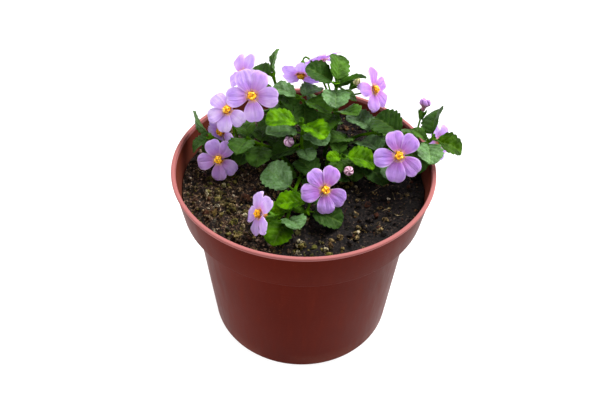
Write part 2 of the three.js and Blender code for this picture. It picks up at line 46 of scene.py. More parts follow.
# Pot, as in the CAD model
POT_RADIUS = 55
POT_HEIGHT = 88
WALL = 1.2
LIP_HEIGHT = 1.6
COLLAR_HEIGHT = 18.7
COLLAR_TOP_RADIUS = 54.5
COLLAR_FOOT_RADIUS = 52.3
BODY_TOP_RADIUS = 47.6
BODY_BASE_RADIUS = 43.1
BASE_EDGE = 0.7
DRAIN_HOLES = 8
DRAIN_RADIUS = 3
DRAIN_CIRCLE = 34
CLEARANCE = 0.3
POT_SEGMENTS = 192
CORNER_STEPS = 4

# Soil, its level and radius as in the CAD model
SOIL_LEVEL = 77.3
SOIL_RADIUS = 51.4
SOIL_SEGMENTS = 180
SOIL_ROWS = 62
CRUMBS = 3600
LUMPS = 190
CLODS = 130
FIBRES = 200
FIBRE_MARGIN = 0.8

# Stems and leaves, as in the CAD model
STEM_RADIUS = 0.8
STEM_RISE = 2.7
ROOT_DEPTH = 10
PEDICEL_RADIUS = 0.5
BLADE = 0.8
STALK_SHARE = 0.2
LEAF_BEND = math.radians(30)
LEAF_FOLD = math.radians(18)
LEAF_WIDTH = 0.92
LARGE_LEAF = 12.8
SMALL_LEAF = 9.5
TOOTH_OUT = 1.04

# How near a leaf's marks must lie to corners of the CAD model to count as found
MATCH = 0.05

# Finish of the leaves
LEAF_THICKNESS = 0.36
TIP_THICKNESS = 0.22
LEAF_ROWS = 48
LEAF_COLUMNS = 18
SIDE_VEINS = 5
VEIN_SLANT = 0.36
TOOTH_PEAK = 0.7
STEM_HAIRS_PER_MM = 5
HAIR_LENGTH = 0.75
HAIR_RADIUS = 0.035
HAIR_CORNERS = (0, 2.094, 4.189)
LEAF_STALK_STEPS = 8
FLOWER_STALK_STEPS = 26
TIP_LEAFLETS = 4

# Blooms and buds, as in the CAD model
THROAT_RADIUS = 1.8
TUBE_LENGTH = 3.2
TUBE_RADIUS = 1.1
CALYX_LENGTH = 3
CALYX_RADIUS = 1.5
EYE_RADIUS = 1.75
EYE_HEIGHT = 0.95
BUD_RADIUS = 2.1

# Finish of the blooms and buds
SEPALS = 5
SEPAL_THICKNESS = 0.26
SEPAL_HALF_WIDTH = 0.78
SEPAL_REACH = 4.4
CAPPED_REACH = 3.9
ANTHERS = 9
BUD_LENGTH = 1.22
BUD_FOLDS = 5
BUD_TWIST = 2.2
CAPPED_BUDS = [4]
PETAL_THICKNESS = 0.28
PETAL_ROWS = 12
PETAL_COLUMNS = 16
PETAL_HALF_WIDTH = 0.40
LOBE_START = 0.60
LOBE_ROWS = 17
LOBE_ROUNDNESS = 0.88

# Part of the throat's radius and depth of the rows that carry a petal down into the throat
THROAT_ROWS = ((0.62, -0.9), (0.78, -0.45), (0.92, -0.15))

# Radius and height along the axis of the outline of a bloom's tube, and of the ring of its eye
TUBE_PROFILE = [
    (0.0, -TUBE_LENGTH), (0.85, -TUBE_LENGTH), (TUBE_RADIUS, -3.0), (1.2, -2.2), (1.32, -1.3), (1.7, -0.5),
    (2.1, 0.0), (2.2, 0.16), (2.05, 0.2), (1.7, -0.2), (1.3, -1.0), (0.9, -2.0), (0.0, -2.3),
]
EYE_PROFILE = [
    (0.0, -EYE_HEIGHT - 0.3), (0.9, -EYE_HEIGHT - 0.3), (1.25, -0.85), (1.5, -0.35), (1.58, 0.05),
    (1.45, 0.3), (1.2, 0.4), (0.95, 0.25), (0.7, 0.05), (0.5, -0.15), (0.25, -0.25), (0.0, -0.25),
]

# Where each stem's axis passes, and its leaf pairs: station on the route, length, heading, climb and
# any roll of one leaf and of its partner, the partner's length
STEMS = {
    "front_left": ([
        (-1, 1, 80), (-1.5, -4.5, 82), (-3.5, -13.3, 82.7), (-5, -23.3, 81.8), (-6, -28, 81.2),
    ], [
        (1, 9, (170, 10), (-20, 10), 9),
        (2, 14, (145, 20, 28), (-30, 10), 8),
        (3, 11, (-165, 0, 10), (10, -10), 6),
        (4, 12.5, (-108, 10), (-62, 12), 10.5),
    ]),
    "front": ([(5, 0, 80), (6.5, -8, 84.5), (4, -17, 85.3), (2, -24, 82)], [
        (1, 12, (130, 10), (45, -5), 12),
        (2.5, 11.5, (-168, 5), (15, 0), 9),
        (3, 14.5, (-26, -6, -12), (95, 0), 6),
    ]),
    "centre_right": ([(11, 2, 80), (12.5, 3.5, 85), (14.5, 2, 88.5), (15.7, -0.5, 91)], [
        (1, 12, (-115, 35), (-45, 20), 12),
        (2, 7, (-80, 10), (90, 20), 8),
        (3, 12.5, (12, -6, -12), (-150, 20, 20), 6),
    ]),
    "right": ([(16, 7, 80), (25, 5.2, 84), (33.5, 4.3, 89.5), (41.5, 7, 96.5)], [
        (0.5, 11, (60, 0), (-80, 5), 10),
        (1, 13, (-55, 20), (-130, 10), 9),
        (2, 14, (130, 5), (-70, 5), 12),
        (3, 15, (135, 10, 20), (-55, -25), 14),
    ]),
    "right_tip": ([(15, 13, 80), (35, 14.5, 85), (46.5, 8.5, 91), (51, 4.5, 96), (52.5, 4, 98)], [
        (1, 12, (85, 5), (-60, 0), 12),
        (2, 10, (95, 10), (-90, 5), 10),
        (3, 12, (-85, 12), (120, 5), 7),
        (4, 11.5, (-12, -8, -15), (85, 25, 60), 13.5),
    ]),
    "top": ([(9, 17, 80), (13.5, 20, 92), (12.8, 23.5, 103.5), (12.5, 22, 111)], [
        (0.6, 12, (120, 5), (-150, 5), 10),
        (1.4, 12.7, (-120, 15), (-55, 25), 12.7),
        (2.65, 12.5, (-92, 15), (70, 0), 9),
        (2.2, 8, (5, -5), (-170, 0), 7),
        (3, 12.4, (176, 35, 15), (80, 46, -40), 11.5),
        (3, 11, (20, 20, 40), (-100, 50), 4),
    ]),
    "top_left": ([(-3, 17, 80), (-8.5, 23, 90), (-11.5, 24, 103), (-14, 26, 112)], [
        (0.8, 12, (180, 10), (70, 0), 12),
        (1.5, 11, (135, -20), (60, 10), 10),
        (2.3, 10, (-45, 25), (170, 5), 10),
        (2.95, 10, (145, 10), (95, 65, 80), 10),
    ]),
    "centre": ([(4, 7, 80), (-1, 9, 87), (-1, 7.5, 98), (-1.5, 7, 102)], [
        (0.5, 11, (-100, 5), (100, 10), 10),
        (1, 12, (180, -10), (-55, 5), 9),
        (1.8, 13, (-170, 10), (-45, 20), 12),
        (2.9, 13, (-165, 25), (-45, 15), 12),
    ]),
    "centre_back": ([(3, 13, 80), (3, 22, 90), (0, 21, 102), (-2.5, 19, 106)], [
        (0.5, 11, (90, 5), (20, 0), 11),
        (1, 12, (135, 5), (10, 0), 13),
        (1.9, 12, (35, 5), (200, 10), 11),
        (2.5, 12, (-25, 10), (-105, 5), 11),
        (3, 10.5, (50, 10), (155, 10), 10.5),
    ]),
    "back_right": ([(10, 10, 80), (20.5, 17, 87), (28, 16, 91), (31, 15, 92)], [
        (0.6, 11, (60, 5), (-90, 5), 10),
        (1, 12, (-135, 25), (-60, 15), 10),
        (1.9, 11, (95, 15), (-25, 0), 10),
        (2.8, 13, (140, 20), (30, 0), 10),
    ]),
    "left": ([(-8, 10, 80), (-24, 14.5, 84.5), (-34.5, 10.5, 88), (-39.5, 9, 92)], [
        (1, 11, (-100, 5), (100, 10), 11),
        (2.6, 8, (-150, -30), (100, 10), 7),
        (3, 12, (140, 20, 105), (175, -25), 9),
    ]),
    "mid_left": ([(-5, 4, 80), (-12, 12, 83.5), (-18.5, 11.5, 86.5), (-24, 12, 89)], [
        (1, 12, (-75, 10), (110, 10), 12),
        (2, 12, (-95, 10), (95, 20), 11),
        (3, 12, (-115, 15), (125, 15), 10),
    ]),
}

# Blooms: throat, heading and climb of the face, size, how far round the face each petal stands,
# stem and station of the flower stalk
BLOOMS = [
    ((-21.4, 7, 114.5), (-87, 37), 21, (-94, -20, 24, 94, 174), "top_left", 1.5),
    ((-26.7, 26.5, 112.1), (-147, 30), 20, (-139, -62, 4, 73, 148), "top_left", 1.2),
    ((-32.6, 14, 102.4), (-112, 50), 18.5, (-125, -62, 12, 112, 170), "left", 1.6),
    ((-36, 13, 92.2), (-120, 10), 14.5, (-112, -50, 30, 110, 190), "left", 1.4),
    ((-36, 1, 86.2), (-96, 37), 18, (-102, -28, 30, 120, 172), "left", 1.2),
    ((-16.4, -31.5, 87), (-156, 28), 17.7, (-132, -55, 12, 104, 155), "front_left", 3.3),
    ((8.6, -20.5, 90.2), (-68, 41), 19.6, (-86, -25, 35, 132, 190), "front", 0.6),
    ((37.8, -7.5, 97.9), (-90, 45), 20.6, (-98, -14, 38, 130, 188), "right", 1.4),
    ((29.6, 29.5, 104.5), (-32, 34), 20, (-62, 32, 91, 161, 226), "top", 1.7),
    ((-2.3, 31.5, 109.8), (-95, -30), 18.5, (-126, -56, 10, 72, 140), "top", 1),
    ((6.4, 44, 109.5), (115, 44), 21.5, (-105, -30, 30, 105, 180), "top", 0.9),
    ((57, 10, 91.8), (-50, 25), 16.5, (-90, -12, 48, 124, 190), "right_tip", 3),
]

# How pale and bluish each bloom is, 0 to 1 (the others are deep pink), and the blooms whose petals are
# narrower than the others', by half width
PALE_BLOOMS = {1: 0.55, 2: 0.6, 3: 1.0, 4: 1.0, 5: 0.35, 6: 0.8, 9: 0.1, 10: 0.9, 11: 0.7, 12: 0.5}
SLENDER_PETALS = {2: 0.34, 9: 0.34}

# Buds: middle, heading and climb of the axis, size, stem and station, slot
BUDS = [
    ((-6.5, 3.5, 95), (-100, 60, 0), 1, "centre", 1.2, "bud_pink"),
    ((18.5, -6, 88), (-90, 40, 0), 0.95, "centre_right", 1.3, "bud_pink"),
    ((22, 33.5, 106), (-20, 60, 0), 0.75, "top", 2.6, "leaf_green"),
    ((49, 14, 108), (60, 70, 0), 1.1, "right_tip", 2, "bud_pink"),
]

# Leaf looks: how young (yellow-green), how grey with painted sheen, and how bright
LOOKS = {
    "plain": (0.22, 0.18, 0.47),
    "dark": (0.05, 0.10, 0.24),
    "olive": (0.32, 0.0, 0.12),
    "grey": (0.10, 0.85, 0.60),
    "light": (0.62, 0.10, 0.60),
    "young": (0.97, 0.0, 0.80),
}
LEAF_LOOKS = {
    "front_left": {1: ("grey", "plain"), 2: ("young", "light"), 3: ("olive", "grey")},
    "front": {0: ("dark", "plain"), 1: ("young", "plain"), 2: ("dark", "plain")},
    "centre_right": {0: ("dark", "grey"), 2: ("young", "young")},
    "right": {1: ("dark", "plain"), 2: ("grey", "grey"), 3: ("dark", "dark")},
    "right_tip": {2: ("grey", "plain"), 3: ("olive", "dark")},
    "top": {2: ("grey", "plain"), 4: ("dark", "plain"), 5: ("light", "young")},
    "top_left": {3: ("dark", "plain")},
    "centre": {1: ("dark", "grey"), 2: ("grey", "grey"), 3: ("young", "young")},
    "centre_back": {3: ("plain", "dark"), 4: ("grey", "grey")},
    "back_right": {2: ("dark", "plain"), 3: ("grey", "plain")},
    "left": {2: ("dark", "dark")},
}
STEM_LOOK = (0.60, 0.0, 0.50)
CALYX_LOOK = (0.50, 0.0, 0.45)
TIP_LOOK = (0.9, 0.0, 0.75)
HAIR_LOOK = (0.55, 0.7, 1.0)

# Bud looks: colours of the ridges, of the folds, painted dark as shade, and of the foot, and how far up the
# foot's reaches
BUD_LOOKS = {
    "bud_mauve_look": ((224, 188, 218), (132, 70, 118), (104, 60, 56), 0.35),
    "bud_pink_look": ((216, 176, 196), (136, 78, 108), (104, 60, 56), 0.35),
    "bud_green_look": ((238, 232, 172), (178, 178, 100), (110, 140, 50), 0.35),
    "bud_violet_look": ((178, 130, 204), (108, 62, 128), (112, 66, 38), 0.62),
}

# Camera, fitted to the pot's outline in the photo
CAMERA_PLACE = (1.31, -199.3, 252.4)
CAMERA_TARGET = (1.31, 0, 62.9)
CAMERA_ROLL = math.radians(1.64)
CAMERA_LENS = 36.25

# Lights: place and target in metres, size, power in watts
LIGHTS = {
    "key": ((0.45, 0.36, 0.82), (0, 0, 0.08), 0.55, 20),
    "left_side": ((-0.9, -0.1, 0.35), (0, 0, 0.07), 0.6, 8),
    "right_side": ((0.9, -0.1, 0.35), (0, 0, 0.07), 0.6, 4.5),
}
WORLD_STRENGTH = 0.60

# Section of the floor, distance back and height in metres
FLOOR_SECTION = [(-2.0, 0.0), (0.0, 0.0), (2.0, 0.0), (2.5, 0.05), (3.0, 0.3), (3.3, 0.9), (3.4, 2.5)]
FLOOR_SIDES = (-4.0, 0.0, 4.0)


def stand(name, data):
    """Puts a mesh, a camera or a light in the scene."""
    thing = bpy.data.objects.new(name, data)
    bpy.context.scene.collection.objects.link(thing)
    return thing


class Shape:
    """The points and faces of one piece, with a UV and a tint at each point."""

    def __init__(self):
        self.points, self.faces, self.uvs, self.tints = [], [], [], []
        self.count = 0

    def add(self, points, faces, uvs=None, tint=(0, 0, 0), under=0.0):
        points = np.asarray(points, float).reshape(-1, 3)
        total = len(points)
        self.points.append(points)
        self.faces.extend([tuple(int(i) + self.count for i in face) for face in faces])
        self.uvs.append(np.zeros((total, 2)) if uvs is None else np.asarray(uvs, float).reshape(-1, 2))
        tints = np.empty((total, 4))
        tints[:, :3] = tint
        tints[:, 3] = under
        self.tints.append(tints)
        self.count += total

    def piece(self, name, material, slot, *nodes, sharp=50):
        """Makes the Blender object, which stands for the CAD nodes named."""
        mesh = bpy.data.meshes.new(name)
        mesh.from_pydata((np.concatenate(self.points) * MM).tolist(), [], self.faces)
        mesh.validate()
        uvs = np.concatenate(self.uvs)
        corner = np.empty(len(mesh.loops), dtype=np.int32)
        mesh.loops.foreach_get("vertex_index", corner)
        layer = mesh.uv_layers.new(name="shape")
        layer.data.foreach_set("uv", uvs[corner].astype(np.float32).ravel())
        tint = mesh.attributes.new("tint", "FLOAT_COLOR", "POINT")
        tint.data.foreach_set("color", np.concatenate(self.tints).astype(np.float32).ravel())
        mesh.shade_smooth()
        mesh.set_sharp_from_angle(angle=math.radians(sharp))
        mesh.materials.append(material)
        thing = stand(name, mesh)
        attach(thing, "root")
        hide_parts(*nodes)
        return thing


def vec(*numbers):
    return np.array(numbers, float)


def unit(v):
    return v / max(np.linalg.norm(v), 1e-9)


def square_to(way):
    """Two directions square to way and to each other."""
    side = unit(np.cross(way, vec(0.31, 0.87, 0.38)))
    return side, np.cross(way, side)


def sheet_uvs(q, v):
    """Where each point of a sheet lies: q runs across it from -1 to 1, v along it."""
    return np.stack(np.broadcast_arrays((q + 1) / 2, v), axis=2)


def circle(radius, angle):
    return radius * math.cos(angle), radius * math.sin(angle)


def draw(seed):
    """A repeatable draw between 0 and 1."""
    value = math.sin(seed * 12.9898) * 43758.5453
    return value - math.floor(value)


def axes(heading, climb, roll=0):
    """Along, up and across a thing that points along heading and climb and is rolled about that."""
    h, c, r = (math.radians(angle) for angle in (heading, climb, roll))
    along = vec(math.cos(c) * math.cos(h), math.cos(c) * math.sin(h), math.sin(c))
    level = vec(-math.sin(c) * math.cos(h), -math.sin(c) * math.sin(h), math.cos(c))
    up = level * math.cos(r) + np.cross(level, along) * math.sin(r)
    return along, up, np.cross(up, along)


def grid_faces(rows, columns, wrap=False):
    """Quads between the points of a grid; wrap joins its last column to its first."""
    faces = []
    for i in range(rows - 1):
        for j in range(columns if wrap else columns - 1):
            k = (j + 1) % columns
            faces.append((i * columns + j, i * columns + k, (i + 1) * columns + k, (i + 1) * columns + j))
    return faces


def closed_faces(rows, sides):
    """Faces of a closed round body: its rings of points, then the points of its start and its end."""
    start = rows * sides
    last = start - sides
    faces = grid_faces(rows, sides, wrap=True)
    faces += [(start, (j + 1) % sides, j) for j in range(sides)]
    faces += [(start + 1, last + j, last + (j + 1) % sides) for j in range(sides)]
    return faces


def add_sheet(shape, grid, thickness, uvs, tint):
    """A closed thin sheet: two faces half the thickness either side of the grid, joined at the edge."""
    rows, columns = grid.shape[:2]
    normal = np.cross(np.gradient(grid, axis=0), np.gradient(grid, axis=1))
    normal /= np.maximum(np.linalg.norm(normal, axis=2, keepdims=True), 1e-9)
    half = normal * (np.broadcast_to(thickness, (rows, columns))[..., None] / 2)
    total = rows * columns
    front = grid_faces(rows, columns)
    back = [tuple(i + total for i in reversed(face)) for face in front]
    edge = [i * columns for i in range(rows)]
    edge += [(rows - 1) * columns + j for j in range(1, columns)]
    edge += [i * columns + columns - 1 for i in range(rows - 2, -1, -1)]
    edge += list(range(columns - 2, 0, -1))
    rim = []
    for i, here in enumerate(edge):
        there = edge[(i + 1) % len(edge)]
        rim.append((here, here + total, there + total, there))
    points = np.concatenate([(grid + half).reshape(-1, 3), (grid - half).reshape(-1, 3)])
    under = np.concatenate([np.zeros(total), np.ones(total)])
    shape.add(points, front + back + rim, np.concatenate([uvs.reshape(-1, 2)] * 2), tint, under)


def add_tube(shape, path, radii, sides, tint, flat=1.0):
    """A closed round bar along a path of points; flat squeezes its section."""
    path = np.asarray(path, float)
    ways = np.gradient(path, axis=0)
    side = square_to(ways[0])[0]
    angles = np.arange(sides) * TURN / sides
    rings = []
    for point, way, radius in zip(path, ways, np.broadcast_to(radii, len(path))):
        way = unit(way)
        side = unit(side - way * np.dot(side, way))
        other = np.cross(way, side)
        rings.append([point + radius * (math.cos(a) * side + flat * math.sin(a) * other) for a in angles])
    lengths = np.concatenate([[0], np.cumsum(np.linalg.norm(np.diff(path, axis=0), axis=1))])
    uvs = [(j / sides, length / 10) for length in lengths for j in range(sides)] + [(0, 0), (0, 0)]
    points = np.concatenate([np.array(rings).reshape(-1, 3), path[[0, -1]]])
    shape.add(points, closed_faces(len(path), sides), uvs, tint)


def add_revolved(shape, profile, centre, axis, sides, tint=(0, 0, 0), wobble=None):
    """A closed body of revolution; the profile's (radius, height) points start and end on the axis."""
    side, other = square_to(axis)
    rings, uvs = [], []
    for row, (radius, height) in enumerate(profile[1:-1]):
        for j in range(sides):
            a = j * TURN / sides
            r, z = (radius, height) if wobble is None else wobble(radius, height, a)
            rings.append(centre + r * (math.cos(a) * side + math.sin(a) * other) + z * axis)
            uvs.append((j / sides, row / len(profile)))
    points = rings + [centre + profile[0][1] * axis, centre + profile[-1][1] * axis]
    shape.add(points, closed_faces(len(profile) - 2, sides), uvs + [(0, 0), (0, 1)], tint)


def add_hair(shape, root, way, length):
    """One fine tapering hair."""
    side, other = square_to(way)
    ring = [root + HAIR_RADIUS * (math.cos(a) * side + math.sin(a) * other) for a in HAIR_CORNERS]
    shape.add(ring + [root + way * length], [(0, 1, 3), (1, 2, 3), (2, 0, 3), (2, 1, 0)], tint=HAIR_LOOK)


def add_hairs_along(shape, path, radius, rng):
    """Hairs all round a stem or stalk."""
    for start, end in zip(path[:-1], path[1:]):
        way = end - start
        span = np.linalg.norm(way)
        for _ in range(rng.poisson(span * STEM_HAIRS_PER_MM)):
            out = rng.normal(size=3)
            out = unit(out - way * np.dot(out, way) / max(span * span, 1e-9))
            lean = unit(out + 0.35 * unit(way) * rng.uniform(-1, 1))
            root = start + way * rng.uniform() + out * radius * 0.9
            add_hair(shape, root, lean, HAIR_LENGTH * rng.uniform(0.5, 1.1))


def catmull_rom(route, t):
    """The point of a stem's axis at station t."""
    points = [vec(*place) for place in route]
    points = [2 * points[0] - points[1]] + points + [2 * points[-1] - points[-2]]
    i = min(int(t), len(route) - 2)
    w = t - i
    p0, p1, p2, p3 = points[i:i + 4]
    return 0.5 * (2 * p1 + (p2 - p0) * w + (2 * p0 - 5 * p1 + 4 * p2 - p3) * w ** 2
                  + (3 * p1 - p0 - 3 * p2 + p3) * w ** 3)


def bezier(p0, p1, p2, p3, steps):
    t = np.linspace(0, 1, steps)[:, None]
    return (1 - t) ** 3 * p0 + 3 * t * (1 - t) ** 2 * p1 + 3 * t ** 2 * (1 - t) * p2 + t ** 3 * p3


def leaf_shape(s):
    """Half width of a leaf along its length, 1 at the widest."""
    return np.sqrt(s) * (1 - s) ** 0.45 / (math.sqrt(0.5 / 0.95) * (0.45 / 0.95) ** 0.45)


def blade_shape(s):
    """The same with a blunter tip, as the grown leaf has."""
    return np.sqrt(s) * (1 - s) ** 0.36 / 0.557


def leaf_points(joint, turned, length, s, q):
    """Points of a leaf: s runs from the blade's base to its tip, q from one edge to the other."""
    along, up, across = turned
    reach = length * (STALK_SHARE + np.sin(LEAF_BEND * s) / LEAF_BEND)
    width = q * leaf_shape(s) * length * LEAF_WIDTH * 0.5
    rise = -length * (1 - np.cos(LEAF_BEND * s)) / LEAF_BEND + np.abs(width) * math.tan(LEAF_FOLD)
    parts = [np.asarray(part)[..., None] for part in np.broadcast_arrays(reach, width, rise)]
    return joint + parts[0] * along + parts[1] * across + parts[2] * up


def leaf_marks(joint, turned, length):
    """The tip and the tooth tips of a leaf's upper face in the CAD model."""
    teeth = 3 if length > LARGE_LEAF else 2 if length > SMALL_LEAF else 1
    tips = [(i + 0.7) / (teeth + 0.7) for i in range(teeth)]
    s = np.array([1.0] + tips + tips)
    q = np.array([0.0] + [TOOTH_OUT] * teeth + [-TOOTH_OUT] * teeth)
    return leaf_points(joint, turned, length, s, q) + turned[1] * BLADE / 2


def leaf_turns():
    """The turns a leaf may have taken to grow clear of its neighbours: heading, climb, scale."""
    ways = [(0, 1), (1, 0), (-1, 0), (0, -1), (1, 1), (-1, 1), (1, -1), (-1, -1)]
    turns = []
    for scale in (1, 0.85, 0.7):
        turns.append((0, 0, scale))
        turns += [(h * reach, c * reach, scale) for reach in (8, 16, 24, 32) for h, c in ways]
    return turns


def find_leaf(corners, joint, aim, length):
    """How the CAD model turned and sized a leaf, or nothing where it left the leaf out."""
    best, best_miss = None, MATCH
    for heading, climb, scale in leaf_turns():
        turned = axes(aim[0] + heading, aim[1] + climb, *aim[2:])
        marks = leaf_marks(joint, turned, length * scale)
        miss = 0
        for mark in marks:
            miss = max(miss, corners.find(mark * MM)[2] / MM)
            if miss > best_miss:
                break
        if miss < best_miss:
            best, best_miss = (turned, length * scale), miss
    return best


def node_corners(node):
    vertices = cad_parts[node].data.vertices
    tree = kdtree.KDTree(len(vertices))
    for i, vertex in enumerate(vertices):
        tree.insert(vertex.co, i)
    tree.balance()
    return tree


def vein_groove(s, q, half_width, length):
    """How deep the veins press into the blade."""
    across = np.abs(q) * half_width
    midrib = 0.26 * np.exp(-(across / 0.42) ** 2) * (1 - 0.7 * s)
    phase = (s - VEIN_SLANT * np.abs(q)) * SIDE_VEINS
    apart = (phase - np.round(phase)) / SIDE_VEINS * length
    side = 0.17 * np.exp(-(apart / 0.36) ** 2) * np.clip(1.15 - np.abs(q), 0, 1)
    return midrib + side


def add_leaf(shape, joint, turned, length, look, seed):
    """A thin toothed blade with pressed-in veins, on its stalk."""
    along, up, across = turned
    rng = np.random.default_rng(seed)
    rows, columns = LEAF_ROWS + 1, LEAF_COLUMNS + 1
    s = np.linspace(0, 1, rows)
    s = (0.004 + 0.992 * (0.82 * s + 0.18 * (0.5 - 0.5 * np.cos(math.pi * s))))[:, None]
    q = np.linspace(-1, 1, columns)[None, :]
    teeth = 6 if length > 12 else 5
    phase = (s * (teeth + 0.4) + 0.25) % 1
    rising, falling = phase / TOOTH_PEAK, (phase - TOOTH_PEAK) / (1 - TOOTH_PEAK)
    tooth = np.where(phase < TOOTH_PEAK, np.sin(rising * math.pi / 2), np.cos(falling * math.pi / 2))
    margin = 0.90 + 0.135 * tooth * np.clip(1.7 - 1.1 * s, 0.4, 1)
    edge = np.abs(q) ** 3
    width_share = q * (1 + (margin - 1) * edge) * blade_shape(s) / leaf_shape(s)
    grid = leaf_points(joint, turned, length, s, width_share)
    half_width = leaf_shape(s) * length * LEAF_WIDTH * 0.5
    turn = TURN * (rng.uniform(1.3, 2.2) * s + 0.25 * np.sign(q) + rng.uniform())
    ripple = rng.uniform(0.22, 0.45) * np.abs(q) ** 2.5 * np.sin(turn)
    between_veins = np.sin(math.pi * (s - VEIN_SLANT * np.abs(q)) * SIDE_VEINS) ** 2
    quilt = (0.12 + 0.26 * between_veins * np.sin(math.pi * np.clip(np.abs(q), 0.08, 0.95))) * (1 - 0.4 * s)
    crumple = np.zeros((rows, columns))
    for i in range(rows):
        for j in range(columns):
            here = Vector((3.2 * s[i, 0], 1.7 * q[0, j], 0.37 * seed))
            crumple[i, j] = 0.32 * noise.noise(here) + 0.16 * noise.noise(here * 2.3)
    twist = rng.uniform(-0.45, 0.45) * q * s
    veins = vein_groove(s, q, half_width, length)
    lift = (quilt - veins + ripple + crumple + twist - 0.12) * np.clip(length / 11, 0.4, 1)
    grid = grid + lift[..., None] * up
    thickness = LEAF_THICKNESS * (1 - 0.55 * np.abs(q) ** 4 * np.ones_like(s))
    bright = np.clip(look[2] + rng.uniform(-0.12, 0.12), 0, 1)
    youth = np.clip(look[0] + rng.uniform(-0.05, 0.07), 0, 1)
    tint = (youth, look[1], bright)
    add_sheet(shape, grid, thickness, sheet_uvs(q, s), tint)
    base = leaf_points(joint, turned, length, np.array([0.0, 0.05]), np.array([0.0, 0.0])) - 0.1 * up
    start = joint + 0.2 * along
    bend = base[0] - 0.3 * (base[1] - base[0])
    path = bezier(start, start + 0.35 * (base[0] - start), bend, base[1], LEAF_STALK_STEPS)
    radii = np.linspace(0.5, 0.42, LEAF_STALK_STEPS) * min(1, length / 10)
    add_tube(shape, path, radii, 8, (0.5 + 0.5 * youth, 0.1, 0.6), flat=0.8)
    for i in range(2, rows - 2):
        for side, column in ((-1, 0), (1, columns - 1)):
            if rng.uniform() < 0.7:
                out = unit(side * across + 0.3 * along + rng.normal(size=3) * 0.25)
                add_hair(shape, grid[i, column], out, 0.45 * HAIR_LENGTH * rng.uniform(0.6, 1.2))


def add_calyx(shape, back, seat, along, spread, reach, seed):
    """The green cup behind a bloom or bud: five pointed sepals, reach long, joined at their foot."""
    side, other = square_to(along)
    s = np.linspace(0, 1, 12)[:, None]
    q = np.linspace(-1, 1, 7)[None, :]
    half = SEPAL_HALF_WIDTH * np.sin(math.pi * (0.2 + 0.78 * s)) ** 0.8
    radius = 0.62 + (CALYX_RADIUS - 0.5) * np.minimum(1, 1.4 * s) + spread * s ** 2.5 - 0.25 * q * q
    for k in range(SEPALS):
        a = (k + 0.35 * draw(seed + k)) * TURN / SEPALS
        out = math.cos(a) * side + math.sin(a) * other
        over = np.cross(along, out)
        grid = (back + (reach * s)[..., None] * along + radius[..., None] * out
                + (half * q)[..., None] * over)
        add_sheet(shape, grid, SEPAL_THICKNESS, sheet_uvs(q, s), CALYX_LOOK)
    add_tube(shape, [back - 0.1 * along, back + 0.5 * along, back + 1.4 * along, seat + 0.1 * along],
             [0.55, 0.95, 1.2, 0.9], 14, CALYX_LOOK)


def add_stalk(shape, stem, station, seat, along, spread, reach, seed, rng):
    """The stalk and the calyx of a bloom or bud, behind the point called seat."""
    start = catmull_rom(STEMS[stem][0], station)
    back = seat - CALYX_LENGTH * along
    span = np.linalg.norm(back - start)
    path = bezier(start, start + vec(0, 0, 0.35 * span), back - 0.35 * span * along, back + 0.5 * along,
                  FLOWER_STALK_STEPS)
    radii = np.linspace(PEDICEL_RADIUS * 0.95, PEDICEL_RADIUS * 0.8, FLOWER_STALK_STEPS)
    add_tube(shape, path, radii, 9, STEM_LOOK)
    add_hairs_along(shape, path[2:], PEDICEL_RADIUS, rng)
    add_calyx(shape, back, seat, along, spread, reach, seed)


def build_plant(name, number, material):
    """One leafy stem, with the stalks it carries."""
    route, pairs = STEMS[name]
    shape = Shape()
    rng = np.random.default_rng(100 + number)
    steps = 14 * (len(route) - 1) + 1
    stations = np.linspace(0, len(route) - 1, steps)
    upper = np.array([catmull_rom(route, t) for t in stations])
    foot = vec(*route[0]) - vec(0, 0, STEM_RISE + ROOT_DEPTH)
    path = np.concatenate([np.linspace(foot, upper[0], 6)[:-1], upper])
    swell = np.zeros(steps)
    for station, *_ in pairs:
        swell += 0.22 * np.exp(-((stations - station) / 0.09) ** 2)
    radii = np.concatenate([np.full(5, STEM_RADIUS), STEM_RADIUS * np.linspace(1.0, 0.74, steps) + swell])
    add_tube(shape, path, radii, 12, STEM_LOOK)
    add_hairs_along(shape, upper[3:], STEM_RADIUS * 0.85, rng)
    corners = node_corners(f"stem_{name}")
    for k, (station, length, first, second, second_length) in enumerate(pairs):
        joint = catmull_rom(route, station)
        looks = LEAF_LOOKS.get(name, {}).get(k, ("plain", "plain"))
        for part, (aim, size) in enumerate([(first, length), (second, second_length)]):
            found = find_leaf(corners, joint, aim, size)
            if found:
                add_leaf(shape, joint, *found, LOOKS[looks[part]], 1000 * number + 10 * k + part)
    add_growing_tip(shape, upper[-1], unit(upper[-1] - upper[-2]), number)
    for i, (at, face, _, _, stem, station) in enumerate(BLOOMS):
        if stem == name:
            along = axes(*face)[0]
            seat = vec(*at) - (TUBE_LENGTH + CLEARANCE) * along
            add_stalk(shape, stem, station, seat, along, 0.5, SEPAL_REACH, 20 * i, rng)
    for i, (at, face, size, stem, station, _) in enumerate(BUDS):
        if stem == name:
            along = axes(*face)[0]
            seat = vec(*at) - (BUD_RADIUS * size * 1.25 + CLEARANCE) * along
            capped = i + 1 in CAPPED_BUDS
            reach = CAPPED_REACH if capped else SEPAL_REACH
            spread = 0.3 if capped else 1.1 * size
            add_stalk(shape, stem, station, seat, along, spread, reach, 500 + 20 * i, rng)
    return shape.piece(f"plant_{name}", material, "leaf_green", f"stem_{name}", sharp=60)


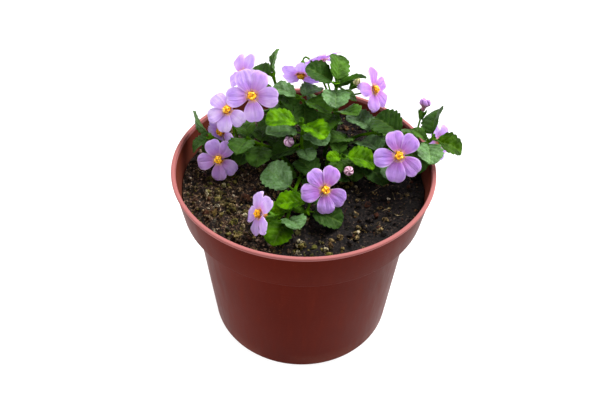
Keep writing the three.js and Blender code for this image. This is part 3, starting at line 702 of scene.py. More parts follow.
def add_growing_tip(shape, top, way, number):
    """The folded leaflets at the end of a stem."""
    rng = np.random.default_rng(700 + number)
    turn = rng.uniform(0, 360)
    heading = math.degrees(math.atan2(way[1], way[0]))
    climb = math.degrees(math.asin(np.clip(way[2], -1, 1)))
    for k in range(TIP_LEAFLETS):
        along, up, across = axes(heading, climb, turn + 90 * k)
        aim = unit(along + (0.22 + 0.16 * (k % 2)) * up)
        lifted = unit(up - aim * np.dot(up, aim))
        size = 2.6 if k % 2 else 1.9
        s = np.linspace(0.02, 0.98, 12)[:, None]
        q = np.linspace(-1, 1, 9)[None, :]
        half = leaf_shape(s) * size * 0.4
        grid = (top - 0.3 * way + (size * s)[..., None] * aim + (half * q)[..., None] * across
                - (0.5 * half * (1 - q * q) + 0.5 * size * s * s * 0.3)[..., None] * -lifted)
        add_sheet(shape, grid, TIP_THICKNESS, sheet_uvs(q, s), TIP_LOOK)


def petal_outline(reach_share, half_share, room):
    """Half width of a petal by its share of the bloom's radius; room is the angle to its neighbour."""
    wedge = np.tan(np.radians(min(room + 2, 38))) * reach_share
    return (wedge ** -6 + half_share ** -6) ** (-1 / 6)


def add_petal(shape, centre, turned, angle, rooms, length, lobe_width, pale, seed):
    """A thin rounded petal that rises from the throat, a little ruffled at its edge. rooms holds the
    angles to the petals before and after it, lobe_width its half width by the bloom's radius."""
    along, up, across = turned
    rng = np.random.default_rng(seed)
    a = math.radians(angle)
    outward = up * math.cos(a) + across * math.sin(a)
    sideways = np.cross(along, outward)
    radius = THROAT_RADIUS + length
    inner = np.linspace(THROAT_RADIUS / radius, LOBE_START, PETAL_ROWS)
    turn = np.linspace(0, 0.995 * math.pi / 2, LOBE_ROWS + 1)[1:]
    share = np.concatenate([inner, LOBE_START + (1 - LOBE_START) * np.sin(turn) ** LOBE_ROUNDNESS])[:, None]
    lobe = lobe_width * np.concatenate([np.ones(PETAL_ROWS), np.cos(turn) ** LOBE_ROUNDNESS])[:, None]
    q = np.linspace(-1, 1, PETAL_COLUMNS + 1)[None, :]
    before, after = (petal_outline(share, lobe, room) for room in rooms)
    half = np.where(q > 0, before, after) * radius
    lateral = half * q
    s = (share * radius - THROAT_RADIUS) / length
    wave = rng.uniform(0, 1, 4)
    notch = (0.02 + 0.03 * wave[3]) * length * np.exp(-(lateral / (0.12 * length)) ** 2) * s ** 8
    edge = np.abs(q) ** 3 * np.clip(2.2 * s - 0.5, 0, 1)
    ripple = np.sin(TURN * (rng.uniform(1.2, 1.9) * s + wave[0] + 0.3 * np.sign(q)))
    ruffle = 0.05 * length * edge * ripple
    tip_wave = 0.016 * length * s ** 4 * np.sin(lateral / length * 11 + 6 * wave[1])
    keel = -0.035 * length * np.exp(-(lateral / (0.07 * length)) ** 2) * np.clip(1 - s, 0, 1) * s * 4
    curl = -0.05 * length * (np.clip(s - 0.7, 0, 1) / 0.3) ** 2 - 0.05 * length * np.abs(q) ** 4 * s
    lean = (0.07 + 0.05 * wave[2]) * lateral
    rise = length * (0.22 * s - 0.20 * s * s) + ruffle + tip_wave + keel + curl + lean
    grid = (centre + (THROAT_RADIUS + s * length - notch)[..., None] * outward
            + lateral[..., None] * sideways + rise[..., None] * along)
    throat = []
    for part, depth in THROAT_ROWS:
        ring = THROAT_RADIUS * part
        places = np.linspace(-1, 1, PETAL_COLUMNS + 1) * ring * 0.85
        throat.append([centre + ring * outward + y * sideways + depth * along for y in places])
    grid = np.concatenate([np.array(throat), grid])
    v = np.concatenate([[-0.2, -0.13, -0.06], s[:, 0]])[:, None]
    add_sheet(shape, grid, PETAL_THICKNESS, sheet_uvs(q, 0.2 + 0.8 * v), (draw(seed), draw(seed + 3), pale))


def build_bloom(number, material):
    """The five petals of a bloom and the tube behind them."""
    at, face, size, petals, _, _ = BLOOMS[number - 1]
    centre = vec(*at)
    turned = axes(*face)
    along = turned[0]
    pale = PALE_BLOOMS.get(number, 0.0)
    lobe_width = SLENDER_PETALS.get(number, PETAL_HALF_WIDTH)
    shape = Shape()
    for k, angle in enumerate(petals):
        length = (size / 2 - THROAT_RADIUS) * (0.95 + 0.1 * draw(number * 10 + k + 5))
        rooms = ((angle - petals[k - 1]) % 360 / 2, (petals[(k + 1) % 5] - angle) % 360 / 2)
        add_petal(shape, centre, turned, angle, rooms, length, lobe_width, pale, 50 * number + k)
    add_revolved(shape, TUBE_PROFILE, centre, along, 40, (draw(number), 0.5, pale))
    return shape.piece(f"corolla_{number}", material, "petal_lilac", f"bloom_{number}", sharp=50)


def build_stamens(number, material):
    """The yellow eye: an uneven ring round the throat, heaped anthers and the style."""
    at, face, _, _, _, _ = BLOOMS[number - 1]
    along, up, across = axes(*face)
    middle = vec(*at) + (EYE_HEIGHT + CLEARANCE + 0.1) * along
    shape = Shape()
    rng = np.random.default_rng(300 + number)
    phase = rng.uniform(0, 6, 3)

    def lobes(radius, height, angle):
        lobe = 1 + 0.12 * math.cos(5 * angle + phase[0]) + 0.08 * math.cos(3 * angle + phase[1])
        heap = 0.16 * math.sin(4 * angle + phase[2]) + 0.10 * math.sin(7 * angle + phase[0])
        return radius * min(lobe, 1.1), height + heap * radius / EYE_RADIUS

    add_revolved(shape, EYE_PROFILE, middle, along, 40, (0.2, 0, 0), lobes)
    for k in range(ANTHERS):
        a = 2.4 * k + rng.uniform(-0.5, 0.5)
        out = up * math.cos(a) + across * math.sin(a)
        place = middle + out * rng.uniform(0.35, 1.15) + along * rng.uniform(0.05, 0.5)
        axis = unit(rng.normal(size=3))
        size = rng.uniform(0.26, 0.5)
        bean = [(size * math.sin(t), -1.3 * size * math.cos(t)) for t in np.linspace(0, math.pi, 9)]
        bean[0], bean[-1] = (0.0, bean[0][1]), (0.0, bean[-1][1])
        add_revolved(shape, bean, place, axis, 12, (rng.choice([0.3, 0.75, 1.0]), 0, 0))
    lean = unit(along + 0.5 * up)
    top = middle + 0.95 * lean
    add_tube(shape, [middle - 0.3 * lean, middle + 0.3 * lean, middle + 0.7 * lean, top],
             [0.15, 0.13, 0.14, 0.2], 8, (0.0, 0.35, 0))
    return shape.piece(f"stamens_{number}", material, "eye_yellow", f"eye_{number}", sharp=70)


def build_bud(number, material):
    """A closed bud: petals wrapped round each other in a spiral, open a little at the crown."""
    at, face, size, _, _, slot = BUDS[number - 1]
    along = axes(*face)[0]
    radius = BUD_RADIUS * size
    capped = number in CAPPED_BUDS
    shape = Shape()

    def folds(r, z, angle):
        turn = (BUD_FOLDS * angle + BUD_TWIST * z / radius) / 2
        wrap = abs(math.sin(turn)) ** 0.7
        crown = max(0, z / radius)
        depth = (0.10 + 0.22 * crown) * (0.5 if capped else 1.0)
        return r * (1.02 - depth * (1 - wrap)), z - 0.25 * radius * crown * (1 - wrap)

    bead = [(0.0, -1.25 * radius)]
    for t in np.linspace(0, math.pi, 33)[1:-1]:
        height = -BUD_LENGTH * math.cos(t)
        if capped:
            rise = min(1, max(0, (height + 0.55) / 0.75))
            wide = 0.42 + 0.62 * rise * rise * (3 - 2 * rise)
            bead.append((radius * wide * min(1, math.sin(t) ** 0.35), radius * min(height, 0.98)))
        else:
            bead.append((radius * math.sin(t) ** 0.85, radius * height))
    bead.append((0.0, (0.8 if capped else 0.95) * radius))
    add_revolved(shape, bead, vec(*at), along, 80, (draw(number), 0, 0), folds)
    return shape.piece(f"closed_bud_{number}", material, slot, f"bud_{number}", sharp=60)


def soil_height(x, y):
    return (SOIL_LEVEL
            + 0.35 * math.sin(0.21 * x + 0.5) * math.cos(0.17 * y)
            + 0.3 * math.sin(0.33 * x - 0.27 * y + 1)
            + 0.25 * math.sin(0.31 * x + 0.45 * y))


def soil_surface(x, y):
    """Height of the soil with its crumbly relief."""
    rough = noise.fractal(Vector((x * 0.35, y * 0.35, 3.1)), 0.9, 2.1, 4)
    lumps = noise.noise(Vector((x * 0.9, y * 0.9, 8.7)))
    clods = noise.noise(Vector((x * 0.32, y * 0.32, 1.3))) * (1.3 - 0.022 * x)
    return soil_height(x, y) + 0.6 * rough + 0.6 * abs(lumps) + clods


def build_soil(material):
    """Peaty soil with a rough surface."""
    shape = Shape()
    shelf = POT_HEIGHT - COLLAR_HEIGHT
    inner = WALL + CLEARANCE
    rings = []
    for r in np.linspace(1.0, SOIL_RADIUS, SOIL_ROWS):
        ring = []
        for j in range(SOIL_SEGMENTS):
            x, y = circle(r, j * TURN / SOIL_SEGMENTS)
            ring.append((x, y, soil_surface(x, y) if r < SOIL_RADIUS - 0.1 else soil_height(x, y)))
        rings.append(ring)
    sides = [
        (COLLAR_FOOT_RADIUS - inner - 0.2, shelf + WALL + CLEARANCE + 0.1),
        (BODY_TOP_RADIUS - inner - 0.2, shelf + CLEARANCE + 0.1),
        (BODY_BASE_RADIUS - inner - 0.2, WALL + CLEARANCE),
        (1.0, WALL + CLEARANCE),
    ]
    for r, z in sides:
        rings.append([(*circle(r, j * TURN / SOIL_SEGMENTS), z) for j in range(SOIL_SEGMENTS)])
    faces = [tuple(reversed(face)) for face in closed_faces(len(rings), SOIL_SEGMENTS)]
    points = np.array(rings).reshape(-1, 3)
    ends = [(0, 0, soil_surface(0, 0)), (0, 0, WALL + CLEARANCE)]
    shape.add(np.concatenate([points, ends]), faces, tint=(0.15, 0.0, 0))
    return shape.piece("soil_bed", material, "potting_soil", "soil", sharp=35)


def build_crumbs(material):
    """The crumbs, the lumps and the strands of peat that lie on the soil."""
    shape = Shape()
    rng = np.random.default_rng(5)
    clods = []
    for _ in range(CLODS):
        x, y, _ = soil_place(rng, 3)
        size = 0.9 + (1.9 if x < 0 else 1.1) * rng.uniform() ** 2
        clods.append((x - 0.15 * (SOIL_RADIUS + x), y, size))
    for i in range(CRUMBS):
        add_crumb(shape, rng, clods[i % CLODS] if i % 2 else None, i % CLODS)
    for _ in range(LUMPS):
        add_lump(shape, rng)
    for _ in range(FIBRES):
        add_fibre(shape, rng)
    return shape.piece("soil_crumbs", material, "potting_soil", "soil", sharp=35)


def inside_pot(x, y, limit):
    """The place itself, or where it lies beyond the limit the nearest one at the limit."""
    r = math.hypot(x, y)
    return (x * limit / r, y * limit / r) if r > limit else (x, y)


def soil_place(rng, margin, clod=None):
    """A place on the soil, clear of the pot's wall, heaped up near the middle of a clod."""
    limit = SOIL_RADIUS - margin
    x, y = circle(limit * math.sqrt(rng.uniform()), rng.uniform(0, TURN))
    heap = 0.0
    if clod is not None:
        x, y = clod[:2] + rng.normal(size=2) * 0.42 * clod[2]
        away = ((x - clod[0]) ** 2 + (y - clod[1]) ** 2) / clod[2] ** 2
        heap = 0.55 * clod[2] * rng.uniform() * math.exp(-away)
        x, y = inside_pot(x, y, limit)
    return vec(x, y, soil_surface(x, y) + heap)


def moss_at(place):
    """How mossy the soil is at a place: in wide patches, and more at the left."""
    return noise.noise(Vector((place[0] * 0.07, place[1] * 0.07, 4.4))) - 0.006 * place[0]


def rough_ball(rows, sides):
    """Corners and faces of a coarse ball of radius 1."""
    points = []
    for row in range(1, rows):
        for j in range(sides):
            t, a = row * math.pi / rows, (j + 0.5 * (row % 2)) * TURN / sides
            points.append(vec(math.sin(t) * math.cos(a), math.sin(t) * math.sin(a), math.cos(t)))
    return points + [vec(0, 0, 1), vec(0, 0, -1)], closed_faces(rows - 1, sides)


def add_lump(shape, rng):
    """One knobbly lump of bark or peat, half sunk in the soil, more of them on the left."""
    place = soil_place(rng, 4)
    place = soil_place(rng, 4) if place[0] > 0 and rng.uniform() < 0.6 else place
    size = rng.uniform(0.7, 1.7)
    stretch = vec(rng.uniform(0.8, 1.4), rng.uniform(0.7, 1.1), rng.uniform(0.5, 0.8)) * size
    spin = Matrix.Rotation(rng.uniform(0, 6.3), 3, Vector((rng.normal() * 0.3, rng.normal() * 0.3, 1)))
    points, faces = rough_ball(7, 11)
    shift = Vector(rng.uniform(0, 50, 3))
    knobs = [1 + 0.9 * noise.noise(Vector(p) * 1.9 + shift) for p in points]
    points = [place + np.array(spin @ Vector(p * stretch * knob)) for p, knob in zip(points, knobs)]
    tint = (rng.uniform(0.4, 1), rng.choice([0.0, 0.0, 0.35, 0.5]), np.clip(2.5 * moss_at(place), 0, 1))
    shape.add(points, faces, tint=tint)


def add_crumb(shape, rng, clod, number):
    """One lump of soil, half sunk in it; those of a clod share its colour."""
    size = 0.30 + 1.25 * rng.uniform() ** 4
    place = soil_place(rng, 1.2 * size + 0.4, clod) + vec(0, 0, 0.25 * size)
    spin = Matrix.Rotation(rng.uniform(0, 6.3), 3, Vector(rng.normal(size=3)))
    stretch = vec(rng.uniform(0.8, 1.5), rng.uniform(0.7, 1.1), rng.uniform(0.5, 0.85))
    points, faces = rough_ball(4, 7)
    points = [place + np.array(spin @ Vector(p * stretch * size * rng.uniform(0.78, 1.15))) for p in points]
    moss = moss_at(place)
    # The kind leans to the paler ones towards the left: painted light.
    kind = rng.uniform() + 0.3 * moss - 0.002 * place[0]
    rusty = rng.uniform()
    if clod is not None:
        kind = 0.55 * kind + 0.6 * draw(number + 0.5)
        rusty = 0.3 * rusty + 0.7 * draw(number + 7.3)
    tint = (rusty, 0.0 if kind < 0.55 else 0.5 if kind < 0.9 else 1.0, np.clip(2.5 * moss, 0, 1))
    shape.add(points, faces, tint=tint)


def add_fibre(shape, rng):
    """One strand of peat lying on the soil."""
    place = soil_place(rng, 3.5)
    heading = rng.uniform(0, TURN)
    length = rng.uniform(2.0, 6.5)
    curl = rng.uniform(-0.9, 0.9)
    path = []
    for t in np.linspace(-0.5, 0.5, 7):
        x, y = circle(length * t, heading + curl * t)
        x, y = inside_pot(place[0] + x, place[1] + y, SOIL_RADIUS - FIBRE_MARGIN)
        path.append((x, y, soil_surface(x, y) + 0.25 + rng.uniform(0, 0.35)))
    thick = rng.uniform(0.08, 0.17)
    radii = [0.4 * thick] + [thick] * 5 + [0.4 * thick]
    add_tube(shape, path, radii, 5, (rng.uniform(), rng.choice([0.0, 0.5, 0.7]), 0))


def rounded(profile, radius):
    """A profile with the corners between its ends turned into small arcs."""
    points = [vec(*point) for point in profile]
    result = [tuple(points[0])]
    for before, corner, after in zip(points, points[1:], points[2:]):
        reach = min(radius, 0.42 * np.linalg.norm(before - corner), 0.42 * np.linalg.norm(after - corner))
        start = corner + unit(before - corner) * reach
        end = corner + unit(after - corner) * reach
        for t in np.linspace(0, 1, CORNER_STEPS + 1):
            result.append(tuple((1 - t) ** 2 * start + 2 * t * (1 - t) * corner + t * t * end))
    result.append(tuple(points[-1]))
    return result


def pot_profile():
    """Outline of the pot's section, from the middle of its base out, up, over the lip and down inside."""
    shelf = POT_HEIGHT - COLLAR_HEIGHT
    return rounded([
        (0, 0.5),
        (BODY_BASE_RADIUS - 4.2, 0.5),
        (BODY_BASE_RADIUS - 4.8, 0),
        (BODY_BASE_RADIUS - BASE_EDGE, 0),
        (BODY_BASE_RADIUS, BASE_EDGE),
        (BODY_TOP_RADIUS, shelf - WALL),
        (COLLAR_FOOT_RADIUS, shelf),
        (COLLAR_TOP_RADIUS - 0.15, POT_HEIGHT - LIP_HEIGHT - 0.35),
        (COLLAR_TOP_RADIUS - 0.1, POT_HEIGHT - LIP_HEIGHT),
        (POT_RADIUS, POT_HEIGHT - 0.7 * LIP_HEIGHT),
        (POT_RADIUS, POT_HEIGHT - 0.3),
        (POT_RADIUS - 0.4, POT_HEIGHT),
        (COLLAR_TOP_RADIUS - WALL, POT_HEIGHT - 0.2),
        (COLLAR_FOOT_RADIUS - WALL, shelf + WALL),
        (BODY_TOP_RADIUS - WALL, shelf),
        (BODY_BASE_RADIUS - WALL, WALL),
        (0, WALL),
    ], 0.45)


def build_pot(material):
    """The pot, turned from its section, with its drain holes cut."""
    shape = Shape()
    add_revolved(shape, pot_profile(), vec(0, 0, 0), vec(0, 0, 1), POT_SEGMENTS)
    pot = shape.piece("pot_shell", material, "pot_plastic", "pot", sharp=40)
    cutters = Shape()
    for i in range(DRAIN_HOLES):
        middle = vec(*circle(DRAIN_CIRCLE, (i + 0.5) * TURN / DRAIN_HOLES), 0)
        plug = [(0, -2), (DRAIN_RADIUS, -2), (DRAIN_RADIUS, WALL + 2), (0, WALL + 2)]
        add_revolved(cutters, plug, middle, vec(0, 0, 1), 40)
    mesh = bpy.data.meshes.new("drain_cutters")
    mesh.from_pydata((np.concatenate(cutters.points) * MM).tolist(), [], cutters.faces)
    cutter = stand("drain_cutters", mesh)
    cut = pot.modifiers.new("drain_holes", "BOOLEAN")
    cut.operation = "DIFFERENCE"
    cut.solver = "EXACT"
    cut.object = cutter
    graph = bpy.context.evaluated_depsgraph_get()
    pot.data = bpy.data.meshes.new_from_object(pot.evaluated_get(graph))
    pot.modifiers.clear()
    bpy.data.objects.remove(cutter)
    return pot


class Nodes:
    """The shader nodes of one material."""

    def __init__(self, name):
        self.material = bpy.data.materials.new(name)
        self.material.use_nodes = True
        self.tree = self.material.node_tree
        self.tree.nodes.clear()
        self.output = self.tree.nodes.new("ShaderNodeOutputMaterial")
        self.where = self.add("TexCoord").outputs["Object"]

    def add(self, kind, inputs=None, **settings):
        made = self.tree.nodes.new("ShaderNode" + kind)
        for key, value in settings.items():
            setattr(made, key, value)
        for key, value in (inputs or {}).items():
            if isinstance(value, bpy.types.NodeSocket):
                self.tree.links.new(value, made.inputs[key])
            else:
                made.inputs[key].default_value = value
        return made

    def math(self, operation, a, b=0.0):
        return self.add("Math", {0: a, 1: b}, operation=operation).outputs[0]

    def times(self, a, b):
        return self.math("MULTIPLY", a, b)

    def gap(self, a, b):
        """How far apart two values are."""
        return self.math("ABSOLUTE", self.math("SUBTRACT", a, b))

    def mix(self, share, a, b):
        return self.add("Mix", {0: share, 6: a, 7: b}, data_type="RGBA").outputs[2]

    def split(self, vector):
        return self.add("SeparateXYZ", {0: vector}).outputs

    def shape_uv(self):
        """Across and along the piece, from its UV map."""
        parts = self.split(self.add("UVMap", uv_map="shape").outputs[0])
        return parts[0], parts[1]

    def tints(self):
        """The three tints of the piece's points, and whether they are on its underside."""
        tint = self.add("Attribute", attribute_name="tint")
        parts = self.add("SeparateColor", {0: tint.outputs["Color"]}).outputs
        return parts[0], parts[1], parts[2], tint.outputs["Alpha"]

    def noise(self, scale, detail, rough=0.55, where=None):
        inputs = {"Vector": where or self.where, "Scale": scale, "Detail": detail, "Roughness": rough}
        return self.add("TexNoise", inputs).outputs[0]

    def spread(self, value, low, high, to_low=0.0, to_high=1.0):
        inputs = {"Value": value, "From Min": low, "From Max": high, "To Min": to_low, "To Max": to_high}
        return self.add("MapRange", inputs).outputs[0]

    def ramp(self, value, *stops):
        """A colour for a value, between stops of a place and its screen colour."""
        made = self.add("ValToRGB", {0: value})
        elements = made.color_ramp.elements
        while len(elements) < len(stops):
            elements.new(0.5)
        for element, (place, *colour) in zip(elements, stops):
            element.position = place
            element.color = srgb(*colour)
        return made.outputs[0]

    def bump(self, height, distance, strength, after=None):
        inputs = {"Height": height, "Distance": distance, "Strength": strength}
        if after is not None:
            inputs["Normal"] = after
        return self.add("Bump", inputs).outputs[0]

    def surface(self, colour, rough, normal, gloss, **more):
        """The shader; more of its inputs go by their names, with _ for a space."""
        inputs = {"Base Color": colour, "Roughness": rough, "Normal": normal, "Specular IOR Level": gloss}
        inputs.update((key.replace("_", " "), value) for key, value in more.items())
        return self.add("BsdfPrincipled", inputs).outputs[0]

    def let_through(self, shader, share, colour):
        """Lets some light through a thin piece."""
        through = self.add("BsdfTranslucent", {"Color": colour}).outputs[0]
        return self.add("MixShader", {0: share, 1: shader, 2: through}).outputs[0]

    def finish(self, shader):
        self.tree.links.new(shader, self.output.inputs["Surface"])
        return self.material


def srgb(red, green, blue):
    """A colour from its screen values, 0 to 255."""
    def linear(value):
        value /= 255
        return value / 12.92 if value <= 0.04045 else ((value + 0.055) / 1.055) ** 2.4
    return (linear(red), linear(green), linear(blue), 1.0)


def pot_material():
    """Terracotta-coloured moulded plastic with a soft sheen, a little dust and fine scuffs, a painted
    highlight on the lip, a painted shade line just under the top edge and painted light on the inner wall.
    """
    n = Nodes("pot_plastic_look")
    wide = n.noise(28, 3)
    colour = n.ramp(wide, (0.3, 71, 11, 0), (0.7, 78, 14, 1))
    height = n.split(n.where)[2]
    stretched = n.add("Mapping", {"Vector": n.where, "Scale": (1, 1, 0.12)}).outputs[0]
    streaks = n.noise(420, 5, 0.6, stretched)
    # Painted light: where the surface faces the pot's axis, the inner wall is painted paler than the
    # outside, for light falling inside the pot.
    facing = n.add("NewGeometry").outputs["Normal"]
    inside = n.add("VectorMath", {0: n.where, 1: facing}, operation="DOT_PRODUCT")
    colour = n.mix(n.spread(inside.outputs["Value"], -0.04, -0.035, 0.65, 0.0), colour, srgb(156, 112, 94))
    colour = n.mix(n.spread(streaks, 0.5, 0.75, 0, 0.10), colour, srgb(120, 46, 28))
    specks = n.noise(1900, 2)
    colour = n.mix(n.spread(specks, 0.68, 0.74, 0, 0.22), colour, srgb(150, 76, 54))
    low = n.spread(height, 0.0, 0.010, 0.22, 0)
    colour = n.mix(n.times(low, n.spread(wide, 0.4, 0.6)), colour, srgb(140, 96, 80))
    # Painted highlight: the band round the lip is painted paler pink.
    lip = n.spread(height, POT_HEIGHT * MM - 0.0019, POT_HEIGHT * MM - 0.0012)
    colour = n.mix(n.times(lip, 0.85), colour, srgb(156, 98, 96))
    # Painted shade: a thin dark line just under the top edge stands in for the shade of a groove.
    groove_shade = n.gap(height, POT_HEIGHT * MM - 0.0004)
    colour = n.mix(n.spread(groove_shade, 0.0, 0.00022, 0.6, 0.0), colour, srgb(104, 48, 40))
    rough = n.spread(streaks, 0.3, 0.75, 0.34, 0.44)
    grain = n.bump(n.noise(2600, 3), 0.00002, 0.4)
    waves = {"Vector": n.where, "Scale": 160, "Distortion": 1.2, "Detail": 2}
    rings = n.add("TexWave", waves, bands_direction="Z").outputs["Fac"]
    normal = n.bump(rings, 0.00002, 0.2, grain)
    return n.finish(n.surface(colour, rough, normal, 0.02, Specular_Tint=srgb(255, 130, 90)))


def soil_material():
    """Black peat with olive, tan and rusty crumbs, mossy in places, painted browner towards the left as
    painted light, with near-black patches of painted shade between clumps.
    """
    n = Nodes("potting_soil_look")
    rust, kind, moss, _ = n.tints()
    fine = n.noise(1000, 6, 0.65)
    wide = n.noise(90, 3)
    lump = n.noise(420, 3, 0.6)
    dark = n.ramp(fine, (0.42, 4, 2, 2), (0.53, 18, 12, 11), (0.62, 44, 32, 26), (0.72, 104, 88, 66))
    brown = n.ramp(fine, (0.41, 6, 3, 2), (0.50, 38, 25, 17), (0.59, 90, 66, 46), (0.69, 176, 156, 130))
    # Painted light: the soil is painted browner and paler towards the left, for the light that falls on
    # that side.
    left = n.spread(n.split(n.where)[0], 0.015, -0.045, -0.25, 0.45)
    patch = n.math("ADD", n.noise(170, 4, 0.6), left)
    dark = n.mix(n.spread(patch, 0.50, 0.58), dark, brown)
    olive = n.ramp(fine, (0.38, 18, 12, 6), (0.50, 72, 56, 30), (0.64, 150, 130, 84))
    pale = n.ramp(fine, (0.38, 58, 46, 34), (0.62, 206, 192, 164))
    colour = n.mix(n.spread(kind, 0.3, 0.5), dark, olive)
    colour = n.mix(n.spread(kind, 0.6, 1.0), colour, pale)
    rusty = n.mix(0.65, colour, srgb(66, 32, 14))
    colour = n.mix(n.spread(rust, 0.80, 0.88), colour, rusty)
    green = n.mix(0.6, colour, srgb(96, 96, 26))
    colour = n.mix(n.times(moss, n.spread(wide, 0.4, 0.6)), colour, green)
    # Painted shade: near-black patches stand in for the shade in the gaps between clumps.
    colour = n.mix(n.spread(lump, 0.41, 0.50, 0.85, 0.0), colour, srgb(12, 8, 7))
    normal = n.bump(fine, 0.0004, 0.9, n.bump(n.noise(2600, 4), 0.00015, 0.8))
    rough = n.spread(fine, 0.3, 0.7, 0.98, 0.80)
    return n.finish(n.surface(colour, rough, normal, 0.18))


def leaf_material():
    """Leaves, stems and calyxes: veined green, from dark to yellow-green, with a painted grey-green sheen
    on the grey leaves and pale hairs.
    """
    n = Nodes("leaf_green_look")
    across, along = n.shape_uv()
    youth, grey, bright, underside = n.tints()
    q = n.math("ABSOLUTE", n.times(n.math("SUBTRACT", across, 0.5), 2.0))
    slant = n.times(q, -VEIN_SLANT)
    phase = n.times(n.math("ADD", along, slant), float(SIDE_VEINS))
    apart = n.gap(n.math("FRACT", n.math("ADD", phase, 0.5)), 0.5)
    side_vein = n.times(n.spread(apart, 0.0, 0.12, 1.0, 0.0), n.spread(q, 0.5, 1.0, 0.7, 0.0))
    midrib = n.spread(q, 0.02, 0.09, 1.0, 0.0)
    vein = n.math("MAXIMUM", side_vein, midrib)
    wide = n.noise(230, 3)
    fine = n.noise(1100, 4)
    old = n.ramp(bright, (0.0, 14, 34, 0), (0.35, 30, 64, 0), (0.7, 78, 124, 0), (1.0, 122, 172, 8))
    fresh = n.ramp(wide, (0.3, 50, 102, 0), (0.7, 98, 148, 0))
    colour = n.mix(youth, old, fresh)
    # Painted sheen: the grey leaves are mixed towards pale grey-green, a painted reflection of the pale
    # surroundings; the hairs take it as their own pale colour.
    sheen_and_hair_grey = n.ramp(fine, (0.35, 84, 124, 78), (0.7, 150, 182, 144))
    colour = n.mix(n.times(grey, 0.68), colour, sheen_and_hair_grey)
    shade = n.spread(wide, 0.38, 0.60, 0.55, 0.0)
    colour = n.mix(shade, colour, srgb(16, 30, 0))
    vein_colour = n.mix(0.45, colour, srgb(150, 186, 84))
    colour = n.mix(n.times(vein, 0.3), colour, vein_colour)
    under = n.mix(0.4, colour, srgb(108, 148, 80))
    colour = n.mix(n.times(underside, 0.6), colour, under)
    cells = n.add("TexVoronoi", {"Vector": n.where, "Scale": 950}, feature="DISTANCE_TO_EDGE").outputs[0]
    normal = n.bump(n.spread(cells, 0.0, 0.12), 0.00012, 0.6, n.bump(fine, 0.00006, 0.5))
    rough = n.spread(fine, 0.3, 0.7, 0.30, 0.42)
    gloss = n.mix(grey, srgb(150, 200, 20), srgb(255, 255, 255))
    shader = n.surface(colour, rough, normal, 0.14, Specular_Tint=gloss)
    glow = n.mix(0.5, colour, srgb(160, 210, 0))
    return n.finish(n.let_through(shader, 0.28, glow))


def petal_material():
    """Lilac petals, magenta round the throat, with faint veins that fan out to a paler edge."""
    n = Nodes("petal_lilac_look")
    across, along = n.shape_uv()
    hue, shift, paleness, underside = n.tints()
    wide = n.noise(240, 3)
    lilac = n.ramp(wide, (0.3, 196, 152, 240), (0.7, 222, 186, 250))
    pink = n.ramp(wide, (0.3, 206, 148, 234), (0.7, 228, 182, 246))
    colour = n.mix(n.spread(hue, 0.2, 0.9), lilac, pink)
    pale = n.ramp(wide, (0.3, 226, 198, 255), (0.7, 246, 232, 255))
    colour = n.mix(paleness, colour, pale)
    fan = n.add("CombineXYZ", {0: n.times(across, 30.0), 1: n.times(along, 1.6), 2: shift})
    veins = n.noise(1.0, 3, 0.6, fan.outputs[0])
    vein_colour = n.mix(paleness, srgb(170, 108, 212), srgb(178, 138, 228))
    colour = n.mix(n.spread(veins, 0.5, 0.72, 0.0, 0.42), colour, vein_colour)
    blush = n.times(n.spread(along, 0.62, 0.26, 0.0, 0.7), n.spread(wide, 0.2, 0.7, 0.6, 1.0))
    blush_colour = n.mix(paleness, srgb(206, 92, 200), srgb(206, 138, 228))
    colour = n.mix(blush, colour, blush_colour)
    throat = n.math("ADD", along, n.spread(veins, 0.3, 0.7, -0.05, 0.05))
    colour = n.mix(n.spread(throat, 0.31, 0.24, 0.0, 0.55), colour, srgb(255, 226, 176))
    colour = n.mix(n.spread(throat, 0.27, 0.18, 0.0, 0.85), colour, srgb(246, 186, 40))
    edge = n.gap(across, 0.5)
    rim = n.math("MAXIMUM", n.spread(edge, 0.38, 0.5), n.spread(along, 0.88, 1.0))
    colour = n.mix(n.times(rim, 0.6), colour, srgb(246, 230, 255))
    colour = n.mix(n.times(underside, 0.3), colour, srgb(220, 196, 244))
    crease = n.add("CombineXYZ", {0: n.times(across, 9.0), 1: n.times(along, 3.0),
                                  2: n.times(hue, 40.0)})
    folds = n.bump(n.noise(1.0, 3, where=crease.outputs[0]), 0.0011, 0.8)
    normal = n.bump(veins, 0.00022, 0.6, n.bump(n.noise(2300, 3), 0.00005, 0.6, folds))
    rough = n.spread(wide, 0.3, 0.7, 0.50, 0.64)
    shader = n.surface(colour, rough, normal, 0.25, Sheen_Weight=0.12)
    return n.finish(n.let_through(shader, 0.6, colour))


def eye_material():
    """The yellow throat and anthers, with brown specks of pollen."""
    n = Nodes("eye_yellow_look")
    kind, style, _, _ = n.tints()
    fine = n.noise(1500, 3)
    colour = n.ramp(fine, (0.3, 222, 142, 0), (0.65, 250, 196, 10))
    anther = n.ramp(fine, (0.3, 206, 112, 0), (0.7, 246, 178, 10))
    colour = n.mix(n.spread(kind, 0.4, 0.7), colour, anther)
    colour = n.mix(n.spread(kind, 0.8, 1.0, 0.0, 0.8), colour, srgb(255, 226, 90))
    colour = n.mix(style, colour, srgb(226, 220, 120))
    speck = n.noise(1300, 2)
    colour = n.mix(n.spread(speck, 0.56, 0.64, 0.0, 0.75), colour, srgb(132, 66, 4))
    normal = n.bump(n.noise(3800, 3), 0.00008, 0.8)
    return n.finish(n.surface(colour, 0.7, normal, 0.25, Sheen_Weight=0.1))


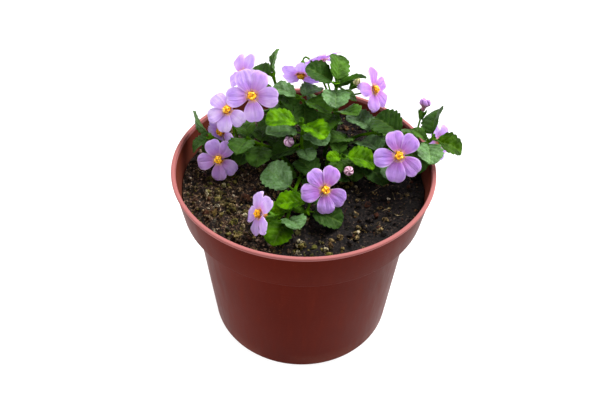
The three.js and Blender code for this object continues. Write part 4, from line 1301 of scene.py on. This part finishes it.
def bud_material(name, ridge, fold_shade, foot, foot_top):
    """A closed bud: soft petals, pale on the ridges and with painted shade in the folds."""
    n = Nodes(name)
    around, along = n.shape_uv()
    height = n.times(n.math("COSINE", n.times(along, math.pi)), -BUD_LENGTH * BUD_TWIST)
    turn = n.math("ADD", n.times(around, TURN * BUD_FOLDS), height)
    wrap = n.math("ABSOLUTE", n.math("SINE", n.times(turn, 0.5)))
    blotch = n.noise(700, 3)
    uneven = n.math("ADD", wrap, n.spread(blotch, 0.3, 0.7, -0.3, 0.3))
    # Painted shade: the folds are painted darker than the ridges.
    colour = n.mix(n.spread(uneven, 0.25, 1.05), srgb(*fold_shade), srgb(*ridge))
    colour = n.mix(n.spread(along, foot_top, foot_top - 0.2, 0.0, 0.8), colour, srgb(*foot))
    normal = n.bump(n.noise(2200, 3), 0.00008, 0.7)
    return n.finish(n.surface(colour, 0.6, normal, 0.3, Sheen_Weight=0.15))


def floor_material():
    """Plain pale studio floor."""
    n = Nodes("studio_floor_look")
    colour = n.ramp(n.noise(3, 2), (0.3, 150, 150, 150), (0.7, 153, 153, 153))
    shader = n.add("BsdfPrincipled", {"Base Color": colour, "Roughness": 0.9, "Specular IOR Level": 0.1,
                                      "Emission Color": (1, 1, 1, 1), "Emission Strength": 0.8})
    return n.finish(shader.outputs[0])


def build_floor():
    """A pale floor that curves up far behind the pot."""
    mesh = bpy.data.meshes.new("studio_floor")
    points = [(x, y, z) for y, z in FLOOR_SECTION for x in FLOOR_SIDES]
    mesh.from_pydata(points, [], grid_faces(len(FLOOR_SECTION), 3))
    mesh.shade_smooth()
    mesh.materials.append(floor_material())
    floor = stand("studio_floor", mesh)


def add_camera():
    """The photo's view: 43.5 degrees down from the front, rolled by 1.6 degrees."""
    camera = bpy.data.cameras.new("photo_view")
    camera.lens = CAMERA_LENS
    camera.sensor_width = 36
    camera.clip_start = 0.01
    thing = stand("photo_view", camera)
    place = Vector(CAMERA_PLACE) * MM
    target = Vector(CAMERA_TARGET) * MM
    forward = (target - place).normalized()
    right = forward.cross(Vector((0, 0, 1))).normalized()
    above = right.cross(forward)
    turned_right = right * math.cos(CAMERA_ROLL) + above * math.sin(CAMERA_ROLL)
    turned_up = above * math.cos(CAMERA_ROLL) - right * math.sin(CAMERA_ROLL)
    turn = Matrix((turned_right, turned_up, -forward)).transposed().to_4x4()
    thing.matrix_world = Matrix.Translation(place) @ turn
    bpy.context.scene.camera = thing


def add_light(name, place, target, size, power):
    """A soft square studio light."""
    light = bpy.data.lights.new(name, "AREA")
    light.size = size
    light.energy = power
    thing = stand(name, light)
    thing.location = place
    aim = Vector(target) - Vector(place)
    thing.rotation_euler = aim.to_track_quat("-Z", "Y").to_euler()


def add_lights():
    """White surroundings, a large soft light above, behind and right, and a weaker one each side."""
    world = bpy.data.worlds.new("studio")
    world.use_nodes = True
    background = world.node_tree.nodes["Background"]
    background.inputs["Color"].default_value = (1, 1, 1, 1)
    background.inputs["Strength"].default_value = WORLD_STRENGTH
    bpy.context.scene.world = world
    for name, light in LIGHTS.items():
        add_light(name, *light)


bpy.context.scene.view_settings.view_transform = "Standard"
add_camera()
add_lights()
build_floor()
build_pot(pot_material())
soil_look = soil_material()
build_soil(soil_look)
build_crumbs(soil_look)
leaf_look = leaf_material()
for count, stem_name in enumerate(STEMS):
    build_plant(stem_name, count, leaf_look)
petal_look = petal_material()
eye_look = eye_material()
for bloom_number in range(1, len(BLOOMS) + 1):
    build_bloom(bloom_number, petal_look)
    build_stamens(bloom_number, eye_look)
for bud_number, (look_name, colours) in enumerate(BUD_LOOKS.items(), 1):
    build_bud(bud_number, bud_material(look_name, *colours))
